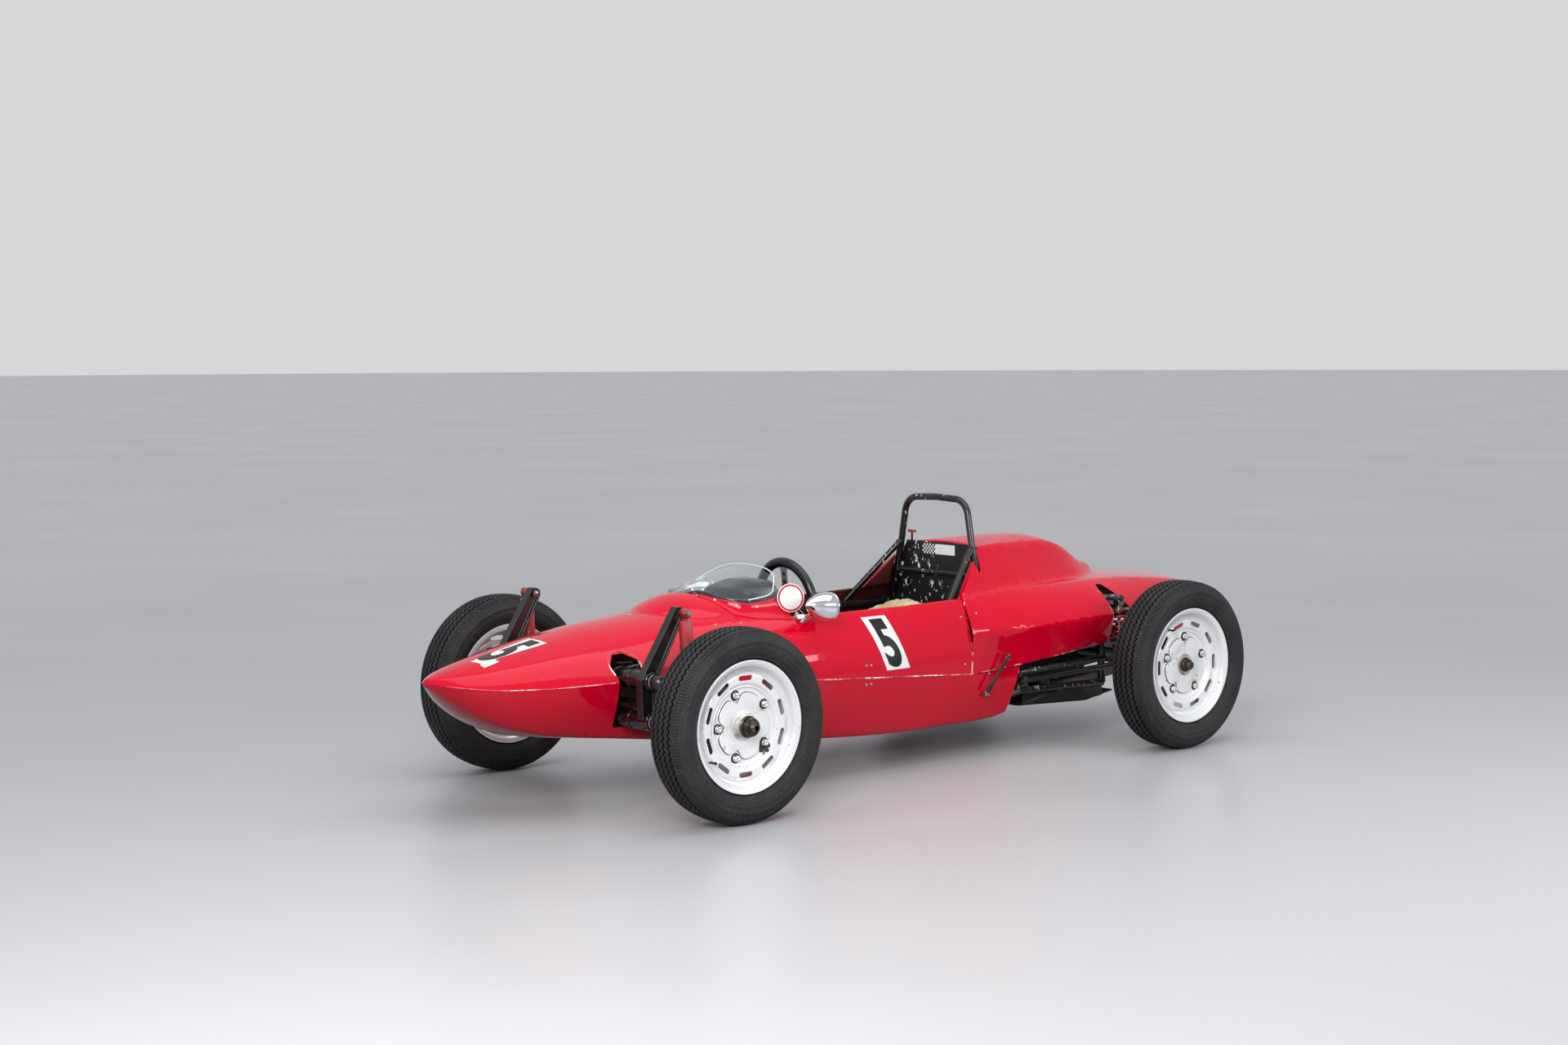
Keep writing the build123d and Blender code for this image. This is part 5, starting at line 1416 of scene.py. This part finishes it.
# ---------------------------------------------------------------- stage
class RACINGCAR_OT_stage(bpy.types.Operator):
    """Camera, floor and soft studio light"""

    bl_idname = "racing_car.stage"
    bl_label = "Studio"

    def execute(self, context):
        settings = context.scene.racing_car.stage
        scene = context.scene
        scene.view_settings.view_transform = "Standard"
        yaw, pitch, roll = 4.00349, 0.07684, -0.00382
        forward = Vector((math.cos(yaw) * math.cos(pitch), math.sin(yaw) * math.cos(pitch), -math.sin(pitch)))
        right = forward.cross(Z_AXIS).normalized()
        top = right.cross(forward)
        right, top = (right * math.cos(roll) + top * math.sin(roll), top * math.cos(roll) - right * math.sin(roll))
        camera = linked("camera", bpy.data.cameras.new("camera"))
        camera.data.lens = settings.lens
        camera.data.sensor_width = 36
        camera.data.clip_end = 200
        turn = Matrix((right, top, -forward)).transposed().to_4x4()
        camera.matrix_world = Matrix.Translation(Vector(settings.place)) @ turn
        scene.camera = camera

        bm = bmesh.new()
        bmesh.ops.create_circle(bm, cap_ends=True, segments=128, radius=90)
        mesh = bpy.data.meshes.new("floor")
        bm.to_mesh(mesh)
        bm.free()
        floor = linked("floor", mesh)
        paint, tree, shader = finish_of("pale_floor_paint", settings.floor, 0.35)
        # greyer under the lamps, so that the floor looks even from the car to the far wall
        reach = add_node(tree, "ShaderNodeVectorMath", {0: add_node(tree, "ShaderNodeTexCoord").outputs["Object"]},
                         operation="LENGTH").outputs["Value"]
        near = add_node(tree, "ShaderNodeMapRange", {
            "Value": reach, "From Min": 9.0, "From Max": 1.5}).outputs["Result"]
        even = tinted(tree, shader, near, "#bcbcbe")
        # light that bounces up from it is that of a darker hall floor
        bounced = add_node(tree, "ShaderNodeLightPath").outputs["Is Diffuse Ray"]
        tinted(tree, shader, bounced, "#4a4a4b", even)
        rough_between(tree, shader, speckle(tree, 900, 0.3, 0.7, 4), 0.28, 0.45)
        floor.data.materials.append(paint)

        world = bpy.data.worlds.new("studio")
        world.use_nodes = True
        scene.world = world
        tree = world.node_tree
        tree.nodes.clear()
        rays = add_node(tree, "ShaderNodeLightPath")
        seen = add_node(tree, "ShaderNodeMath", {
            0: rays.outputs["Is Camera Ray"], 1: rays.outputs["Is Transmission Ray"]}, operation="MAXIMUM")
        light = add_node(tree, "ShaderNodeBackground", {"Color": (0.93, 0.95, 1.0, 1), "Strength": 0.6})
        wall = add_node(tree, "ShaderNodeBackground", {"Color": linear("#d6d7d9"), "Strength": 1.0})
        mixed = add_node(tree, "ShaderNodeMixShader", {
            "Fac": seen.outputs["Value"], 1: light.outputs["Background"], 2: wall.outputs["Background"]})
        add_node(tree, "ShaderNodeOutputWorld", {"Surface": mixed.outputs["Shader"]})

        # name, place, aim, width, height, watts
        lamps = (("overhead_softbox", (0.3, 0.6, 3.6), (0, 0, 0.3), 3.0, 4.6, 56),
                 ("front_softbox", (4.2, 3.4, 2.6), (0.4, 0, 0.4), 1.7, 2.4, 165),
                 ("side_strip", (-1.4, 4.6, 1.9), (-0.4, 0, 0.4), 0.6, 3.4, 60))
        for name, place, aim, width, height, power in lamps:
            data = bpy.data.lights.new(name, "AREA")
            data.shape = "RECTANGLE"
            data.size, data.size_y = width, height
            data.energy = power
            turn = (Vector(aim) - Vector(place)).to_track_quat("-Z", "X").to_matrix().to_4x4()
            linked(name, data).matrix_world = Matrix.Translation(Vector(place)) @ turn
        return {"FINISHED"}


STEPS = (
    RACINGCAR_OT_body, RACINGCAR_OT_markings, RACINGCAR_OT_screen, RACINGCAR_OT_seat, RACINGCAR_OT_steering,
    RACINGCAR_OT_frame, RACINGCAR_OT_wheels, RACINGCAR_OT_front_axle, RACINGCAR_OT_engine,
    RACINGCAR_OT_rear_axle, RACINGCAR_OT_fittings, RACINGCAR_OT_stage,
)


class RACINGCAR_PT_panel(bpy.types.Panel):
    """Sizes, colours and building steps of the racing car"""

    bl_idname = "RACINGCAR_PT_panel"
    bl_label = "Racing car"
    bl_space_type = "VIEW_3D"
    bl_region_type = "UI"
    bl_category = "Racing car"

    def draw(self, context):
        car = context.scene.racing_car
        for group in (car.body, car.wheels, car.cockpit, car.stage):
            box = self.layout.box()
            for name in group.__annotations__:
                box.prop(group, name)
        for step in STEPS:
            self.layout.operator(step.bl_idname)


CLASSES = (BodySettings, WheelSettings, CockpitSettings, StageSettings, CarSettings, *STEPS, RACINGCAR_PT_panel)


def register():
    """Make the classes known and hang the settings on the scene."""
    for cls in CLASSES:
        bpy.utils.register_class(cls)
    bpy.types.Scene.racing_car = bpy.props.PointerProperty(type=CarSettings)


def unregister():
    """Undo register."""
    del bpy.types.Scene.racing_car
    for cls in reversed(CLASSES):
        bpy.utils.unregister_class(cls)


def main():
    """Build every piece and the stage."""
    register()
    for step in STEPS:
        group, name = step.bl_idname.split(".")
        getattr(getattr(bpy.ops, group), name)()


if __name__ == "__main__":
    main()
